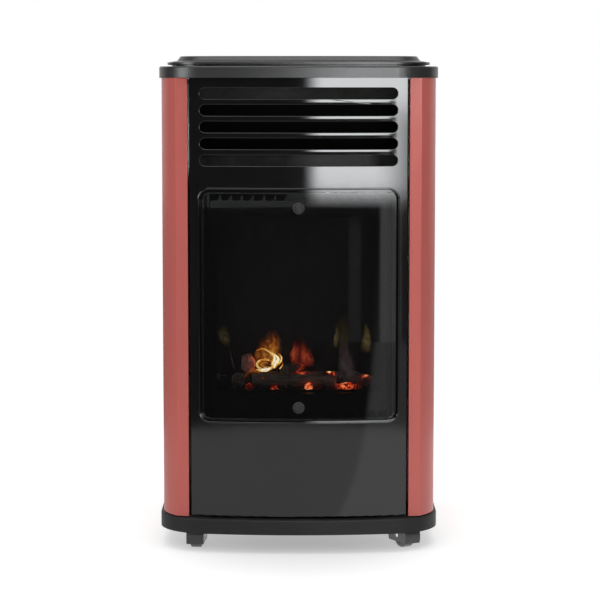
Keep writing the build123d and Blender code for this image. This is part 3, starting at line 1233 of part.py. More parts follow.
def caster_wheel():
    """Nylon wheel with a rounded tread and recessed faces."""
    axle = Pos(TRAIL, WHEEL_RADIUS)
    half = WHEEL_WIDTH / 2
    wheel = facing_front(axle * Circle(WHEEL_RADIUS), -half, half)
    wheel = fillet(wheel.edges().filter_by(GeomType.CIRCLE), WHEEL_ROUND)
    recess = axle * (Circle(WHEEL_RADIUS - 2 * WHEEL_ROUND) - Circle(HUB_RADIUS))
    wheel -= facing_front(recess, -half, HUB_RECESS - half)
    wheel -= facing_front(recess, half - HUB_RECESS, half)
    return wheel - facing_front(axle * Circle(AXLE_RADIUS + RUN_GAP), -half, half)


def caster_socket():
    """Flanged bush in the base that the stem turns in."""
    low = DECK_BOTTOM - BUSH_FLANGE
    bush = at_height(Circle(BUSH_FLANGE_RADIUS), low, DECK_BOTTOM)
    bush += at_height(Circle(BUSH_RADIUS), DECK_BOTTOM, SOCKET_TOP)
    bore = Circle(STEM_RADIUS + RUN_GAP)
    return bush - at_height(bore, low, SOCKET_TOP - BUSH_END)


# ---------------------------------------------------------------- the whole heater
def screws():
    """The three groups of casing screws."""
    return {
        "base_screws": [screw(point, UP, SIDE_SCREW_LENGTH) for point in BASE_SCREWS],
        "top_screws": [screw(point, UP, SIDE_SCREW_LENGTH) for point in TOP_SCREWS],
        "rail_screws": [screw(point, FORWARD, RAIL_SCREW_LENGTH) for point in RAIL_SCREWS],
    }


def heater_pieces():
    """Every node of the heater by name; a list is a group of like solids."""
    right_side = right_side_panel()
    pieces = {
        "base_tray": base_tray(),
        "floor_plate": floor_plate(),
        "right_side_panel": right_side,
        "left_side_panel": mirror(right_side, about=Plane.YZ),
        "louvre_panel": louvre_panel(),
        "front_panel": front_panel(),
        "window_glass": window_glass(),
        "glass_gasket": glass_gasket(),
        "glass_fixings": [glass_fixing(height) for height in FIXING_HEIGHTS],
        "glass_washers": [glass_washer(height) for height in FIXING_HEIGHTS],
        "glass_nuts": [glass_nut(height) for height in FIXING_HEIGHTS],
        "firebox_shell": firebox_shell(),
        "bulkhead": bulkhead(),
        "burner": burner(),
        "ember_bed": ember_bed(),
        "ember_coals": ember_coals(),
        "front_log": lying_log(FRONT_LOG),
        "back_log": lying_log(BACK_LOG),
        "left_log": lying_log(LEFT_LOG),
        "right_log": lying_log(RIGHT_LOG),
        "top_log": top_log(),
        "pilot_bracket": pilot_bracket(),
        "pilot_burner": pilot_burner(),
        "thermocouple": thermocouple(),
        "spark_electrode": spark_electrode(),
        "louvre_deflector": louvre_deflector(),
        "top_frame": top_frame(),
        "top_plate": top_plate(),
        "control_tray": control_tray(),
        "gas_valve": gas_valve(),
        "valve_spindle": valve_spindle(),
        "control_knob": control_knob(),
        "piezo_igniter": piezo_igniter(),
        "igniter_button": igniter_button(),
        "control_nuts": [control_nut(x) for x in (VALVE_X, IGNITER_X)],
        "hose_nozzle": hose_nozzle(),
        "burner_pipe": burner_pipe(),
        "pilot_pipe": pilot_pipe(),
        "thermocouple_lead": thermocouple_lead(),
        "ignition_lead": ignition_lead(),
        "rear_rail": rear_rail(),
        "cover_grommets": [cover_grommet(x) for x in (-STUD_X, STUD_X)],
        "rear_cover": rear_cover(),
        "cover_studs": [cover_stud(x) for x in (-STUD_X, STUD_X)],
        "caster_sockets": [placed(caster_socket(), x, y, turn) for _, x, y, turn in CASTERS],
    }
    for name, x, y, turn in CASTERS:
        pieces[f"caster_fork_{name}"] = placed(caster_fork(), x, y, turn)
        pieces[f"caster_axle_{name}"] = placed(caster_axle(), x, y, turn)
        pieces[f"caster_wheel_{name}"] = placed(caster_wheel(), x, y, turn)
    pieces.update(screws())
    return pieces


def main():
    os.makedirs("parts", exist_ok=True)
    for name, piece in heater_pieces().items():
        solid = Compound(children=[*piece]) if isinstance(piece, list) else piece
        export_step(solid, f"parts/{name}.step")


main()
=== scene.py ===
import math
import random

import bmesh
import bpy
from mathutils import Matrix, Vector, noise


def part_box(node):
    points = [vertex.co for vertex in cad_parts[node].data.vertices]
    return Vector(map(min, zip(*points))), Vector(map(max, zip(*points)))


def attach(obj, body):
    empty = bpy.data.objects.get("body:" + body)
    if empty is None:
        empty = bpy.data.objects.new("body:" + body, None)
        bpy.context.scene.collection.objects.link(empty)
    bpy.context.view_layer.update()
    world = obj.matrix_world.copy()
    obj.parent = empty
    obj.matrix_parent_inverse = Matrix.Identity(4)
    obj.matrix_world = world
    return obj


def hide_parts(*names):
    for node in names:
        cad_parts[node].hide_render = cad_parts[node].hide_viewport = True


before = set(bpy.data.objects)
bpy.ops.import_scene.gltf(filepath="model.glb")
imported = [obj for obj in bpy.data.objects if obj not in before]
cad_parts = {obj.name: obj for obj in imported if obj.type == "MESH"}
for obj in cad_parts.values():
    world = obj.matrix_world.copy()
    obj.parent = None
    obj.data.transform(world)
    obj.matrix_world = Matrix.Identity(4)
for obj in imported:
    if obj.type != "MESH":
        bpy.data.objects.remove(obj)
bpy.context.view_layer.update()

# ----------------------------------------------------------
# Base tray. An injection-moulded tray of black polypropylene: spark-eroded grain outside, pale
# rubbed edges, dust in the grain. The casing stands on it, held by screws from below.


def add(look, kind, inputs=None, **settings):
    """A shader node in a look, which is a material or the world; inputs are values or outputs."""
    made = look.node_tree.nodes.new("ShaderNode" + kind)
    for name, value in settings.items():
        setattr(made, name, value)
    for name, value in (inputs or {}).items():
        socket = made.inputs[name]
        if isinstance(value, bpy.types.NodeSocket):
            look.node_tree.links.new(value, socket)
        else:
            socket.default_value = value
    return made


def principled(look):
    """The inputs of the material's Principled shader."""
    return look.node_tree.nodes["Principled BSDF"].inputs


def surface(name, **sockets):
    """A material with one Principled shader, and that shader's inputs set by name."""
    look = bpy.data.materials.new(name)
    look.use_nodes = True
    for key, value in sockets.items():
        principled(look)[key.replace("_", " ")].default_value = value
    return look


def drive(look, **outputs):
    """Feeds the Principled shader's inputs from other nodes' outputs."""
    for key, value in outputs.items():
        look.node_tree.links.new(value, principled(look)[key.replace("_", " ")])


def geometry(look, output):
    """A value of the surface itself, such as its normal."""
    return add(look, "NewGeometry").outputs[output]


def parts(look, vector):
    """The X, Y and Z of a vector."""
    return add(look, "SeparateXYZ", {"Vector": vector}).outputs


def object_place(look):
    """Object coordinates in metres."""
    return add(look, "TexCoord").outputs["Object"]


def speckle(look, scale, detail=4.0, roughness=0.55, stretch=(1, 1, 1), distortion=0.0):
    """Fractal noise with features about 1/scale metres wide, stretched along each axis."""
    spot = add(look, "Mapping", {"Vector": object_place(look), "Scale": stretch})
    return add(look, "TexNoise", {
        "Vector": spot.outputs["Vector"], "Scale": scale, "Detail": detail,
        "Roughness": roughness, "Distortion": distortion}).outputs["Fac"]


def ramp(look, value, *stops):
    """A colour ramp; each stop is (place, colour) or (place, grey)."""
    made = add(look, "ValToRGB", {"Fac": value})
    elements = made.color_ramp.elements
    while len(elements) < len(stops):
        elements.new(1.0)
    for element, (where, colour) in zip(elements, stops):
        grey = isinstance(colour, (int, float))
        element.position = where
        element.color = (colour, colour, colour, 1) if grey else (*colour, 1)
    return made.outputs["Color"]


def patches(look, bare, full, *texture):
    """A mask of noise: 0 where the noise is under bare, 1 where it is over full."""
    return ramp(look, speckle(look, *texture), (bare, 0.0), (full, 1.0))


def scaled(look, value, low, high, to_low=0.0, to_high=1.0, **settings):
    """Maps low to high onto to_low to to_high, and holds the ends."""
    return add(look, "MapRange", {
        "Value": value, "From Min": low, "From Max": high, "To Min": to_low, "To Max": to_high},
        **settings).outputs["Result"]


def sums(look, operation, first, second=0.0):
    """One step of arithmetic on two numbers or outputs."""
    return add(look, "Math", {0: first, 1: second}, operation=operation).outputs[0]


def product(look, *values):
    """The product of several numbers or outputs."""
    total = values[0]
    for value in values[1:]:
        total = sums(look, "MULTIPLY", total, value)
    return total


def mix(look, share, first, second):
    """Colour first where share is 0 and second where it is 1."""
    return add(look, "Mix", {0: share, 6: first, 7: second}, data_type="RGBA").outputs[2]


def over(look, body, colour, *masks):
    """A colour laid over the body, as strongly as the product of the masks."""
    return mix(look, product(look, *masks), body, (*colour, 1))


def shade(colour, share):
    """The colour made darker or lighter."""
    return tuple(c * share for c in colour)


def bump(look, height, depth, under=None):
    """A normal from a height map whose full range is depth metres."""
    inputs = {"Height": height, "Distance": depth, "Strength": 1.0}
    if under is not None:
        inputs["Normal"] = under
    return add(look, "Bump", inputs).outputs["Normal"]


def worn(look, radius):
    """The normal of edges rounded by a small radius, and a mask that is 1 on those edges."""
    soft = add(look, "Bevel", {"Radius": radius}, samples=4).outputs["Normal"]
    facing = add(look, "VectorMath", {0: soft, 1: geometry(look, "Normal")},
                 operation="DOT_PRODUCT").outputs["Value"]
    return soft, scaled(look, facing, 0.995, 0.80)


def dressed(look, body, shine, height, depth, under=None):
    """The material, given its colour, its roughness and its relief."""
    drive(look, Base_Color=body, Roughness=shine, Normal=bump(look, height, depth, under))
    return look


def looking_up(look, low, high):
    """A mask of faces that look up, by the height of their normal."""
    return scaled(look, parts(look, geometry(look, "Normal"))["Z"], low, high)


def lying_dust(look):
    """A mask of dust: more on faces that look up, broken up by soft patches."""
    cover = ramp(look, speckle(look, 22, 6, 0.65), (0.42, 0.15), (0.7, 1.0))
    return product(look, looking_up(look, 0.3, 1.0), cover)


def moulded_plastic(name, colour, rough, grain=900.0, rubbed=0.35, shine=0.5):
    """Black or grey moulded plastic: eroded grain, faint flow marks, paler rubbed edges."""
    look = surface(name, IOR=1.49, Specular_IOR_Level=shine)
    soft, edge = worn(look, 0.0007)
    flow = speckle(look, 9, 5, 0.6, (1, 1, 2.5), 1.2)
    body = ramp(look, flow, (0.3, shade(colour, 0.82)), (0.7, shade(colour, 1.22)))
    fine = speckle(look, grain * 1.7, 2, 0.5)
    body = over(look, body, (0.12, 0.12, 0.118), fine, 0.07)
    scuffs = patches(look, 0.46, 0.75, 75, 6, 0.75, (1, 1, 0.35))
    body = over(look, body, (0.15, 0.15, 0.148), scuffs, rubbed, edge)
    body = over(look, body, (0.33, 0.31, 0.28), lying_dust(look), 0.05)
    grainy = add(look, "TexVoronoi", {"Vector": object_place(look), "Scale": grain},
                 feature="SMOOTH_F1").outputs["Distance"]
    sheen = scaled(look, speckle(look, 34, 6, 0.7), 0.0, 1.0, rough - 0.06, rough + 0.08)
    return dressed(look, body, sheen, grainy, 0.00006, soft)


def finish(look, *names):
    """Puts a material on CAD pieces by name."""
    for name in names:
        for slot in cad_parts[name].material_slots:
            slot.material = look


base_plastic = moulded_plastic("base_plastic", (0.0078, 0.0078, 0.0080), 0.50, shine=0.18)
finish(base_plastic, "base_tray")

# ----------------------------------------------------------
# Casters. Forks moulded in black plastic, dark nylon wheels that have picked up floor dirt,
# bright steel axles, and pale nylon bushes pressed into the base.


def turned_steel(name, colour, rough, ring=900.0, rubbed=0.35):
    """Steel with fine turning lines, a few finger marks and edges rubbed bright."""
    look = surface(name, Metallic=1.0)
    soft, edge = worn(look, 0.0003)
    marks = speckle(look, 60, 6, 0.7, (1, 1, 1), 0.6)
    body = ramp(look, marks, (0.3, shade(colour, 0.72)), (0.62, colour))
    body = over(look, body, (0.7, 0.69, 0.67), edge, rubbed)
    lines = speckle(look, ring, 3, 0.6, (1, 1, 0.06))
    shine = scaled(look, marks, 0.0, 1.0, rough + 0.16, rough - 0.05)
    return dressed(look, body, shine, lines, 0.00002, soft)


def nylon_moulding(name, colour, dirt, dirt_share):
    """Slightly translucent nylon with a dull skin and dirt worked into it."""
    look = surface(name, IOR=1.53, Subsurface_Weight=0.12, Subsurface_Scale=0.002)
    soft, edge = worn(look, 0.0005)
    cloud = speckle(look, 48, 6, 0.65)
    body = ramp(look, cloud, (0.3, shade(colour, 0.85)), (0.7, colour))
    grime = patches(look, 0.45, 0.72, 150, 7, 0.78, (1, 1, 1), 0.8)
    body = over(look, body, dirt, grime, dirt_share)
    body = over(look, body, [min(1.0, c * 1.7 + 0.02) for c in colour], edge, 0.25)
    shine = scaled(look, cloud, 0.0, 1.0, 0.36, 0.56)
    return dressed(look, body, shine, speckle(look, 700, 4, 0.6), 0.00006, soft)


fork_plastic = moulded_plastic("caster_plastic", (0.016, 0.016, 0.0165), 0.38, 1100.0, 0.5)
wheel_nylon = nylon_moulding("wheel_nylon", (0.035, 0.036, 0.038), (0.16, 0.14, 0.115), 0.30)
bush_nylon = nylon_moulding("bush_nylon", (0.62, 0.60, 0.54), (0.22, 0.19, 0.15), 0.25)
axle_steel = turned_steel("axle_steel", (0.62, 0.615, 0.60), 0.26)
for corner in ("front_left", "front_right", "rear_left", "rear_right"):
    finish(fork_plastic, f"caster_fork_{corner}")
    finish(axle_steel, f"caster_axle_{corner}")
    finish(wheel_nylon, f"caster_wheel_{corner}")
finish(bush_nylon, "caster_sockets")

# ----------------------------------------------------------
# Bay floor, bulkhead, rear rail and the casing screws. Pressed galvanised sheet with its frosty
# spangle, and zinc-plated screws that hold base, top and rail to the folded casing.


def zinc_sheet(name, spangle=95.0, tint=(0.50, 0.51, 0.52), rough=0.40):
    """Galvanised steel: crystals of slightly different grey, white bloom, soft shine."""
    look = surface(name, Metallic=1.0)
    soft, edge = worn(look, 0.0004)
    crystals = add(look, "TexVoronoi", {
        "Vector": object_place(look), "Scale": spangle, "Randomness": 1.0})
    tone = add(look, "SeparateColor", {"Color": crystals.outputs["Color"]}).outputs[0]
    body = ramp(look, tone, (0.0, shade(tint, 0.78)), (1.0, shade(tint, 1.12)))
    bloom = patches(look, 0.52, 0.78, 28, 7, 0.72)
    body = over(look, body, (0.62, 0.62, 0.60), bloom, 0.35)
    body = over(look, body, (0.66, 0.66, 0.65), edge, 0.5)
    shine = scaled(look, tone, 0.0, 1.0, rough - 0.08, rough + 0.12)
    return dressed(look, body, shine, speckle(look, 420, 5, 0.6), 0.00003, soft)


bay_zinc = zinc_sheet("bay_zinc")
screw_zinc = zinc_sheet("screw_zinc", 700.0, (0.58, 0.57, 0.53), 0.30)
finish(bay_zinc, "floor_plate", "bulkhead", "rear_rail")
finish(screw_zinc, "base_screws", "top_screws", "rail_screws")

# ----------------------------------------------------------
# Firebox and louvre deflector. Folded mild steel in matt stove black, browned by heat low down
# and the box sooty near the flames. The deflector's near-black band and pale foot are painted shade
# and painted light. The box is screwed to the bulkhead, the deflector hangs above it.


def stove_black(name, colour, heat=0.0, grain=520.0):
    """Matt heat-proof paint: fine grit, chalky patches, rusty brown where it gets hottest."""
    look = surface(name, IOR=1.45)
    soft, edge = worn(look, 0.0006)
    cloud = speckle(look, 16, 7, 0.68, (1, 1, 1.4), 0.7)
    body = ramp(look, cloud, (0.28, shade(colour, 0.6)), (0.5, colour),
                (0.76, shade(colour, 1.6)))
    scorch = patches(look, 0.44, 0.8, 30, 7, 0.75, (1, 1, 0.5), 1.5)
    body = over(look, body, (0.085, 0.035, 0.018), scorch, heat)
    chips = patches(look, 0.5, 0.62, 110, 6, 0.8)
    body = over(look, body, (0.10, 0.085, 0.07), edge, chips, 0.6)
    body = over(look, body, (0.20, 0.18, 0.15), lying_dust(look), 0.10)
    shine = scaled(look, cloud, 0.0, 1.0, 0.52, 0.78)
    return dressed(look, body, shine, speckle(look, grain, 5, 0.65), 0.00012, soft)


finish(stove_black("firebox_black", (0.009, 0.0085, 0.008), 0.45), "firebox_shell")

# Heights between which painted shade blackens the deflector behind the middle slots, and the x
# where a patch of painted light at its foot fades in and out.
SHADE_LOW, SHADE_HIGH = 0.600, 0.672
LIT_LEFT, LIT_RIGHT = (-0.02, 0.03), (0.125, 0.105)
paint = stove_black("deflector_black", (0.042, 0.042, 0.042), 0.12)
principled(paint)["Specular IOR Level"].default_value = 0.05
plain = principled(paint)["Base Color"].links[0].from_socket
spot = parts(paint, object_place(paint))
above = sums(paint, "GREATER_THAN", spot["Z"], SHADE_HIGH)
below = sums(paint, "LESS_THAN", spot["Z"], SHADE_LOW)
unshaded = sums(paint, "MAXIMUM", above, below)
# Painted shade: near black between the two heights, where the slots show only shade.
body = mix(paint, unshaded, (0.0012, 0.0011, 0.001, 1), plain)
# Painted light: a pale grey patch below them, towards the right.
drive(paint, Base_Color=over(paint, body, (0.16, 0.16, 0.16), below,
                             scaled(paint, spot["X"], *LIT_LEFT),
                             scaled(paint, spot["X"], *LIT_RIGHT)))
finish(paint, "louvre_deflector")

# ----------------------------------------------------------
# Burner and pilot group. A folded steel box burner blued by heat, and beside it the sooty bracket
# with a brass pilot, a copper-sheathed thermocouple and a porcelain spark electrode.


def heated_metal(name, colour, hot, share, rough=0.42):
    """Bare metal with temper colours in patches and dull oxide between them."""
    look = surface(name, Metallic=1.0)
    soft, edge = worn(look, 0.0003)
    cloud = speckle(look, 55, 6, 0.7, (1, 1, 1), 1.0)
    body = ramp(look, cloud, (0.28, shade(colour, 0.5)), (0.55, colour))
    tempered = ramp(look, speckle(look, 38, 5, 0.6, (1, 1, 1), 1.6),
                    (0.36, shade(colour, 0.8)), (0.5, hot), (0.64, colour))
    body = mix(look, share, body, tempered)
    body = over(look, body, [min(1.0, c * 1.35) for c in colour], edge, 0.4)
    shine = scaled(look, cloud, 0.0, 1.0, rough + 0.18, rough - 0.10)
    return dressed(look, body, shine, speckle(look, 640, 4, 0.6), 0.00003, soft)


brass = heated_metal("brass", (0.62, 0.42, 0.17), (0.34, 0.20, 0.12), 0.35, 0.34)
copper = heated_metal("copper", (0.66, 0.31, 0.19), (0.30, 0.13, 0.12), 0.4, 0.36)
finish(heated_metal("burner_steel", (0.36, 0.35, 0.34), (0.16, 0.15, 0.26), 0.6, 0.46), "burner")
sooty_steel = heated_metal("sooty_steel", (0.055, 0.052, 0.05), (0.05, 0.03, 0.035), 0.5, 0.62)
finish(sooty_steel, "pilot_bracket")
finish(heated_metal("sooty_brass", (0.10, 0.068, 0.035), (0.06, 0.035, 0.022), 0.5, 0.56),
       "pilot_burner")
finish(heated_metal("sooty_copper", (0.11, 0.055, 0.036), (0.06, 0.03, 0.026), 0.5, 0.56),
       "thermocouple")

porcelain = surface("porcelain", IOR=1.52, Coat_Weight=0.6, Coat_Roughness=0.08)
soot = ramp(porcelain, speckle(porcelain, 260, 6, 0.7), (0.38, 0.2), (0.62, 1.0))
dressed(porcelain, mix(porcelain, soot, (0.20, 0.175, 0.15, 1), (0.035, 0.028, 0.024, 1)),
        ramp(porcelain, speckle(porcelain, 120, 4), (0.3, 0.22), (0.8, 0.5)),
        speckle(porcelain, 380, 4), 0.00005)
finish(porcelain, "spark_electrode")

# ----------------------------------------------------------
# Ember bed and coals. Vacuum-formed ceramic fibre, rough and dark, strewn with crumbs and with
# loose coals whose cracks glow; the hottest lie under the front log and right of it.


def glowing_char(name, colour, ash, crack_scale, glow):
    """Charred ceramic: black grain, grey ash on top, cracks that glow where the fire is hot."""
    look = surface(name, IOR=1.4, Specular_IOR_Level=0.25, Roughness=0.92,
                   Emission_Strength=glow)
    grit = speckle(look, 330, 7, 0.72)
    body = ramp(look, grit, (0.3, shade(colour, 0.45)), (0.6, colour),
                (0.8, shade(colour, 1.9)))
    body = over(look, body, ash, looking_up(look, 0.1, 0.95),
                patches(look, 0.42, 0.7, 130, 7, 0.75), 0.5)
    spot = object_place(look)
    ragged = add(look, "TexNoise", {"Vector": spot, "Scale": 120.0}).outputs["Color"]
    bent = add(look, "Mix", {0: 0.006, 4: spot, 5: ragged}, data_type="VECTOR").outputs[1]
    cracks = add(look, "TexVoronoi", {"Vector": bent, "Scale": crack_scale},
                 feature="DISTANCE_TO_EDGE").outputs["Distance"]
    open_cracks = ramp(look, cracks, (0.0, 1.0), (0.16, 0.12), (0.3, 0.0))
    heat = add(look, "Attribute", attribute_name="fire_heat").outputs["Fac"]
    flicker = ramp(look, speckle(look, 210, 5, 0.7), (0.3, 0.25), (0.7, 1.0))
    lit = product(look, sums(look, "ADD", open_cracks, product(look, heat, 0.55)),
                  product(look, heat, flicker))
    fire = ramp(look, lit, (0.0, (0, 0, 0)), (0.18, (0.10, 0.004, 0.001)),
                (0.45, (0.78, 0.07, 0.018)), (0.72, (1.0, 0.24, 0.07)), (1.0, (1.0, 0.70, 0.28)))
    rough = sums(look, "ADD", product(look, cracks, 0.6), grit)
    drive(look, Base_Color=body, Emission_Color=fire, Normal=bump(look, rough, 0.0007))
    return look


# Where the fire is hottest: (x, y, z, reach, heat), in metres.
HOT_SPOTS = (
    (-0.075, -0.176, 0.2485, 0.0060, 0.80), (-0.077, -0.172, 0.2560, 0.0030, 0.75),
    (-0.054, -0.171, 0.2590, 0.0026, 0.90), (-0.036, -0.178, 0.2450, 0.0055, 0.95),
    (0.015, -0.178, 0.2465, 0.0095, 1.35), (0.046, -0.160, 0.2680, 0.0042, 1.80),
    (0.054, -0.161, 0.2650, 0.0045, 0.85), (0.071, -0.172, 0.2475, 0.0150, 1.10),
    (0.073, -0.164, 0.2540, 0.0090, 0.80), (0.101, -0.158, 0.2625, 0.0065, 1.05),
    (0.106, -0.150, 0.2560, 0.0070, 0.45), (0.003, -0.124, 0.2640, 0.0160, 0.62),
)


def heat_at(point):
    """How hot the fire is at a point, from 0 to nearly 2."""
    hottest = 0.0
    for x, y, z, reach, heat in HOT_SPOTS:
        away = (point - Vector((x, y, z))).length / reach
        hottest = max(hottest, heat * math.exp(-away * away))
    return hottest


def set_heat(piece, heat=heat_at):
    """Stores the fire's heat at each vertex, for the glow in the material."""
    values = [heat(vertex.co) for vertex in piece.data.vertices]
    piece.data.attributes.new("fire_heat", "FLOAT", "POINT").data.foreach_set("value", values)


def put(name, data):
    """A new object in the scene."""
    made = bpy.data.objects.new(name, data)
    bpy.context.scene.collection.objects.link(made)
    return made


def mesh_object(bm, name, look):
    """A new object from a bmesh."""
    mesh = bpy.data.meshes.new(name)
    bm.to_mesh(mesh)
    bm.free()
    mesh.materials.append(look)
    return put(name, mesh)


def piece_from(bm, name, look, body="root"):
    """An object from a bmesh, shaded smooth, riding on a body."""
    bmesh.ops.recalc_face_normals(bm, faces=bm.faces)
    for face in bm.faces:
        face.smooth = True
    piece = mesh_object(bm, name, look)
    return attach(piece, body)


FACETS, FACET_REACH, PIT_DEPTH = 9, 0.74, 0.10      # of a coal with a radius of 1


def add_lump(bm, centre, size, seed, fineness):
    """One broken coal: a ball knocked into facets and pitted."""
    lump = bmesh.ops.create_icosphere(bm, subdivisions=fineness, radius=1.0)["verts"]
    rng = random.Random(seed)
    cuts = [Vector((rng.uniform(-1, 1), rng.uniform(-1, 1), rng.uniform(-0.6, 1))).normalized()
            for _ in range(FACETS)]
    for vertex in lump:
        way = vertex.co.normalized()
        reach = min([1.0] + [FACET_REACH / max(way.dot(cut), 1e-3) for cut in cuts])
        pit = noise.fractal(way * 2.6 + Vector((seed, 0, 0)), 0.7, 2.2, 5)
        vertex.co = centre + Vector([c * s * (reach + PIT_DEPTH * pit) for c, s in zip(way, size)])


coal_char = glowing_char("coal_char", (0.022, 0.018, 0.016), (0.16, 0.145, 0.13), 160.0, 2.2)
bed_low, bed_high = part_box("ember_bed")
rng = random.Random(11)
coals = bmesh.new()
for index, (x, y, size) in enumerate([      # x and y in metres, radius in millimetres
        (-0.094, -0.176, 7.0), (-0.072, -0.177, 7.5), (-0.050, -0.176, 6.0), (-0.037, -0.178, 6.0),
        (-0.014, -0.177, 5.5), (0.015, -0.177, 7.5), (0.034, -0.176, 6.0), (0.057, -0.175, 6.5),
        (0.073, -0.176, 8.0), (0.090, -0.175, 7.0), (0.108, -0.176, 6.5), (-0.094, -0.141, 6.5),
        (-0.066, -0.141, 6.0), (-0.040, -0.140, 7.0), (-0.018, -0.141, 6.0), (0.006, -0.140, 7.5),
        (0.028, -0.141, 6.5), (0.050, -0.140, 6.0), (0.072, -0.141, 7.0), (0.110, -0.142, 6.5),
        (0.066, -0.160, 6.0), (0.079, -0.164, 6.0), (0.073, -0.169, 5.0)]):
    radius = size / 1000
    add_lump(coals, Vector((x, y, bed_high.z + radius * 0.55)),
             (radius * rng.uniform(0.95, 1.1), radius * rng.uniform(0.85, 1.0), radius * 0.85),
             index * 7.3, 4)
coals = piece_from(coals, "glowing_coals", coal_char)
set_heat(coals)
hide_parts("ember_coals")

# A coal on the front log's end, the hottest of all, with two crumbs that have rolled beside it.
hot_coal = bmesh.new()
for place_on, size, seed in (((0.0455, -0.1595, 0.2650), (0.0068, 0.0040, 0.0029), 5.0),
                             ((0.0530, -0.1600, 0.2645), (0.0034, 0.0032, 0.0030), 8.0),
                             ((0.0390, -0.1600, 0.2645), (0.0024, 0.0026, 0.0022), 9.0)):
    add_lump(hot_coal, Vector(place_on), size, seed, 4)
hot_coal = piece_from(hot_coal, "coal_on_front_log", coal_char)
set_heat(hot_coal)

# A large pale coal that has burnt out, leaning between the front log's end and the left log.
pale_coal = bmesh.new()
add_lump(pale_coal, Vector((-0.0765, -0.1560, 0.2815)), (0.0118, 0.0080, 0.0160), 23.0, 5)
pale_coal = piece_from(
    pale_coal, "burnt_out_coal",
    glowing_char("pale_char", (0.62, 0.34, 0.26), (0.80, 0.52, 0.42), 70.0, 0.8))
set_heat(pale_coal, lambda spot: 0.12 + 0.70 * max(0.0, min(1.0, (spot.x + 0.0785) / 0.010)))

# Crumbs all over the bed, 0.8 to 2.2 mm in radius.
CRUMBS = 420
crumbs = bmesh.new()
for index in range(CRUMBS):
    x = rng.uniform(bed_low.x + 0.003, bed_high.x - 0.003)
    y = rng.uniform(bed_low.y + 0.002, bed_high.y - 0.002)
    radius = rng.uniform(0.0008, 0.0022)
    add_lump(crumbs, Vector((x, y, bed_high.z + radius * 0.3)),
             (radius, radius * rng.uniform(0.7, 1.2), radius * 0.7), index * 3.1, 1)
crumbs = piece_from(crumbs, "ember_crumbs", coal_char)
set_heat(crumbs)

finish(glowing_char("bed_char", (0.016, 0.013, 0.012), (0.09, 0.08, 0.07), 130.0, 1.0), "ember_bed")

# ----------------------------------------------------------
# Logs. Ceramic-fibre castings painted as split, half-burnt wood: ridged bark along the length,
# sawn ends with rings, knots, ash on the upper sides and glowing cracks near the embers.

FULL_TURN = 6.2832
RINGS, AROUND, CAPS = 96, 80, 9             # mesh steps along, round and across the ends
WRAP_ROUND, WRAP_ALONG = 3.2, 34            # how fine the bark is round and along the log
BARK_SINK, RIDGE_DEPTH, WAIST_DEPTH, FLAKE_DEPTH = 0.0013, 0.0019, 0.0007, 0.0005
KNOT_REACH, KNOT_RISE, KNOT_PIT = 0.007, 0.0011, 0.0007
SAW_MARKS, END_RINGS, END_HOLLOW = 0.0008, 0.00025, 0.0006


def add_log(bm, start, end, radii, seed):
    """One log between two points: bark ridges, knots and slightly uneven sawn ends."""
    start, end = Vector(start), Vector(end)
    along = (end - start).normalized()
    side = along.cross(Vector((0, 0, 1))).normalized()
    upward = side.cross(along)
    length = (end - start).length
    knots = [(random.Random(seed + k).uniform(0.15, 0.85), random.Random(seed - k).uniform(0, 6.28))
             for k in (1, 2, 3)]

    def corner(t, angle, share):
        """A point at t along the log; share is 1 on the bark and 0 at the middle of an end."""
        way = side * math.cos(angle) + upward * math.sin(angle)
        radius = radii[0] + (radii[1] - radii[0]) * t
        wrap = Vector((math.cos(angle) * WRAP_ROUND, math.sin(angle) * WRAP_ROUND,
                       t * length * WRAP_ALONG + seed))
        ridge = abs(noise.fractal(Vector((wrap.x * 2.3, wrap.y * 2.3, wrap.z * 0.55)), 0.8, 2.1, 5))
        waist = noise.noise(Vector((wrap.x * 0.35, wrap.y * 0.35, wrap.z * 0.35)))
        flake = noise.fractal(wrap * 2.8, 0.9, 2.3, 4)
        swell = 0.0
        for where, facing in knots:
            off = math.hypot((t - where) * length / KNOT_REACH,
                             math.sin((angle - facing) / 2) * 4.2)
            swell += KNOT_RISE * math.exp(-off * off) - KNOT_PIT * math.exp(-off * off * 5)
        radius += (-BARK_SINK + swell - RIDGE_DEPTH * ridge + WAIST_DEPTH * waist
                   - FLAKE_DEPTH * flake)
        saw = SAW_MARKS * noise.noise(Vector((wrap.x, wrap.y, seed))) * share
        place_on = start + along * (t * length + (saw if t > 0.5 else -saw))
        if share < 1:
            rings_cut = END_RINGS * math.sin(share * 34 + seed) - END_HOLLOW * (1 - share)
            place_on += along * (rings_cut if t > 0.5 else -rings_cut)
        return place_on + way * radius * share

    def ring_at(t, share):
        return [bm.verts.new(corner(t, FULL_TURN * k / AROUND, share)) for k in range(AROUND)]

    rows = [ring_at(step / RINGS, 1.0) for step in range(RINGS + 1)]
    for t, outer in ((0.0, rows[0]), (1.0, rows[-1])):
        for cap in range(1, CAPS):
            inner = ring_at(t, 1 - cap / CAPS)
            join_rings(bm, outer, inner)
            outer = inner
        bm.faces.new(outer)
    for low, high in zip(rows, rows[1:]):
        join_rings(bm, low, high)


def join_rings(bm, low, high):
    """Faces between two rings with the same number of corners."""
    for k in range(len(low)):
        bm.faces.new((low[k - 1], low[k], high[k], high[k - 1]))


def log_char(name, colour, pale):
    """Painted ceramic bark: dark furrows, paler ridges, ash, brown sawn ends, glowing cracks."""
    look = glowing_char(name, colour, (0.34, 0.30, 0.26), 85.0, 1.6)
    body = principled(look)["Base Color"].links[0].from_socket
    ridge = scaled(look, geometry(look, "Pointiness"), 0.49, 0.56)
    body = over(look, body, pale, ridge, 0.75)
    streak = patches(look, 0.4, 0.75, 95, 6, 0.7, (0.25, 1, 1))
    body = over(look, body, (0.13, 0.082, 0.052), streak, 0.4)
    drive(look, Base_Color=body)
    return look


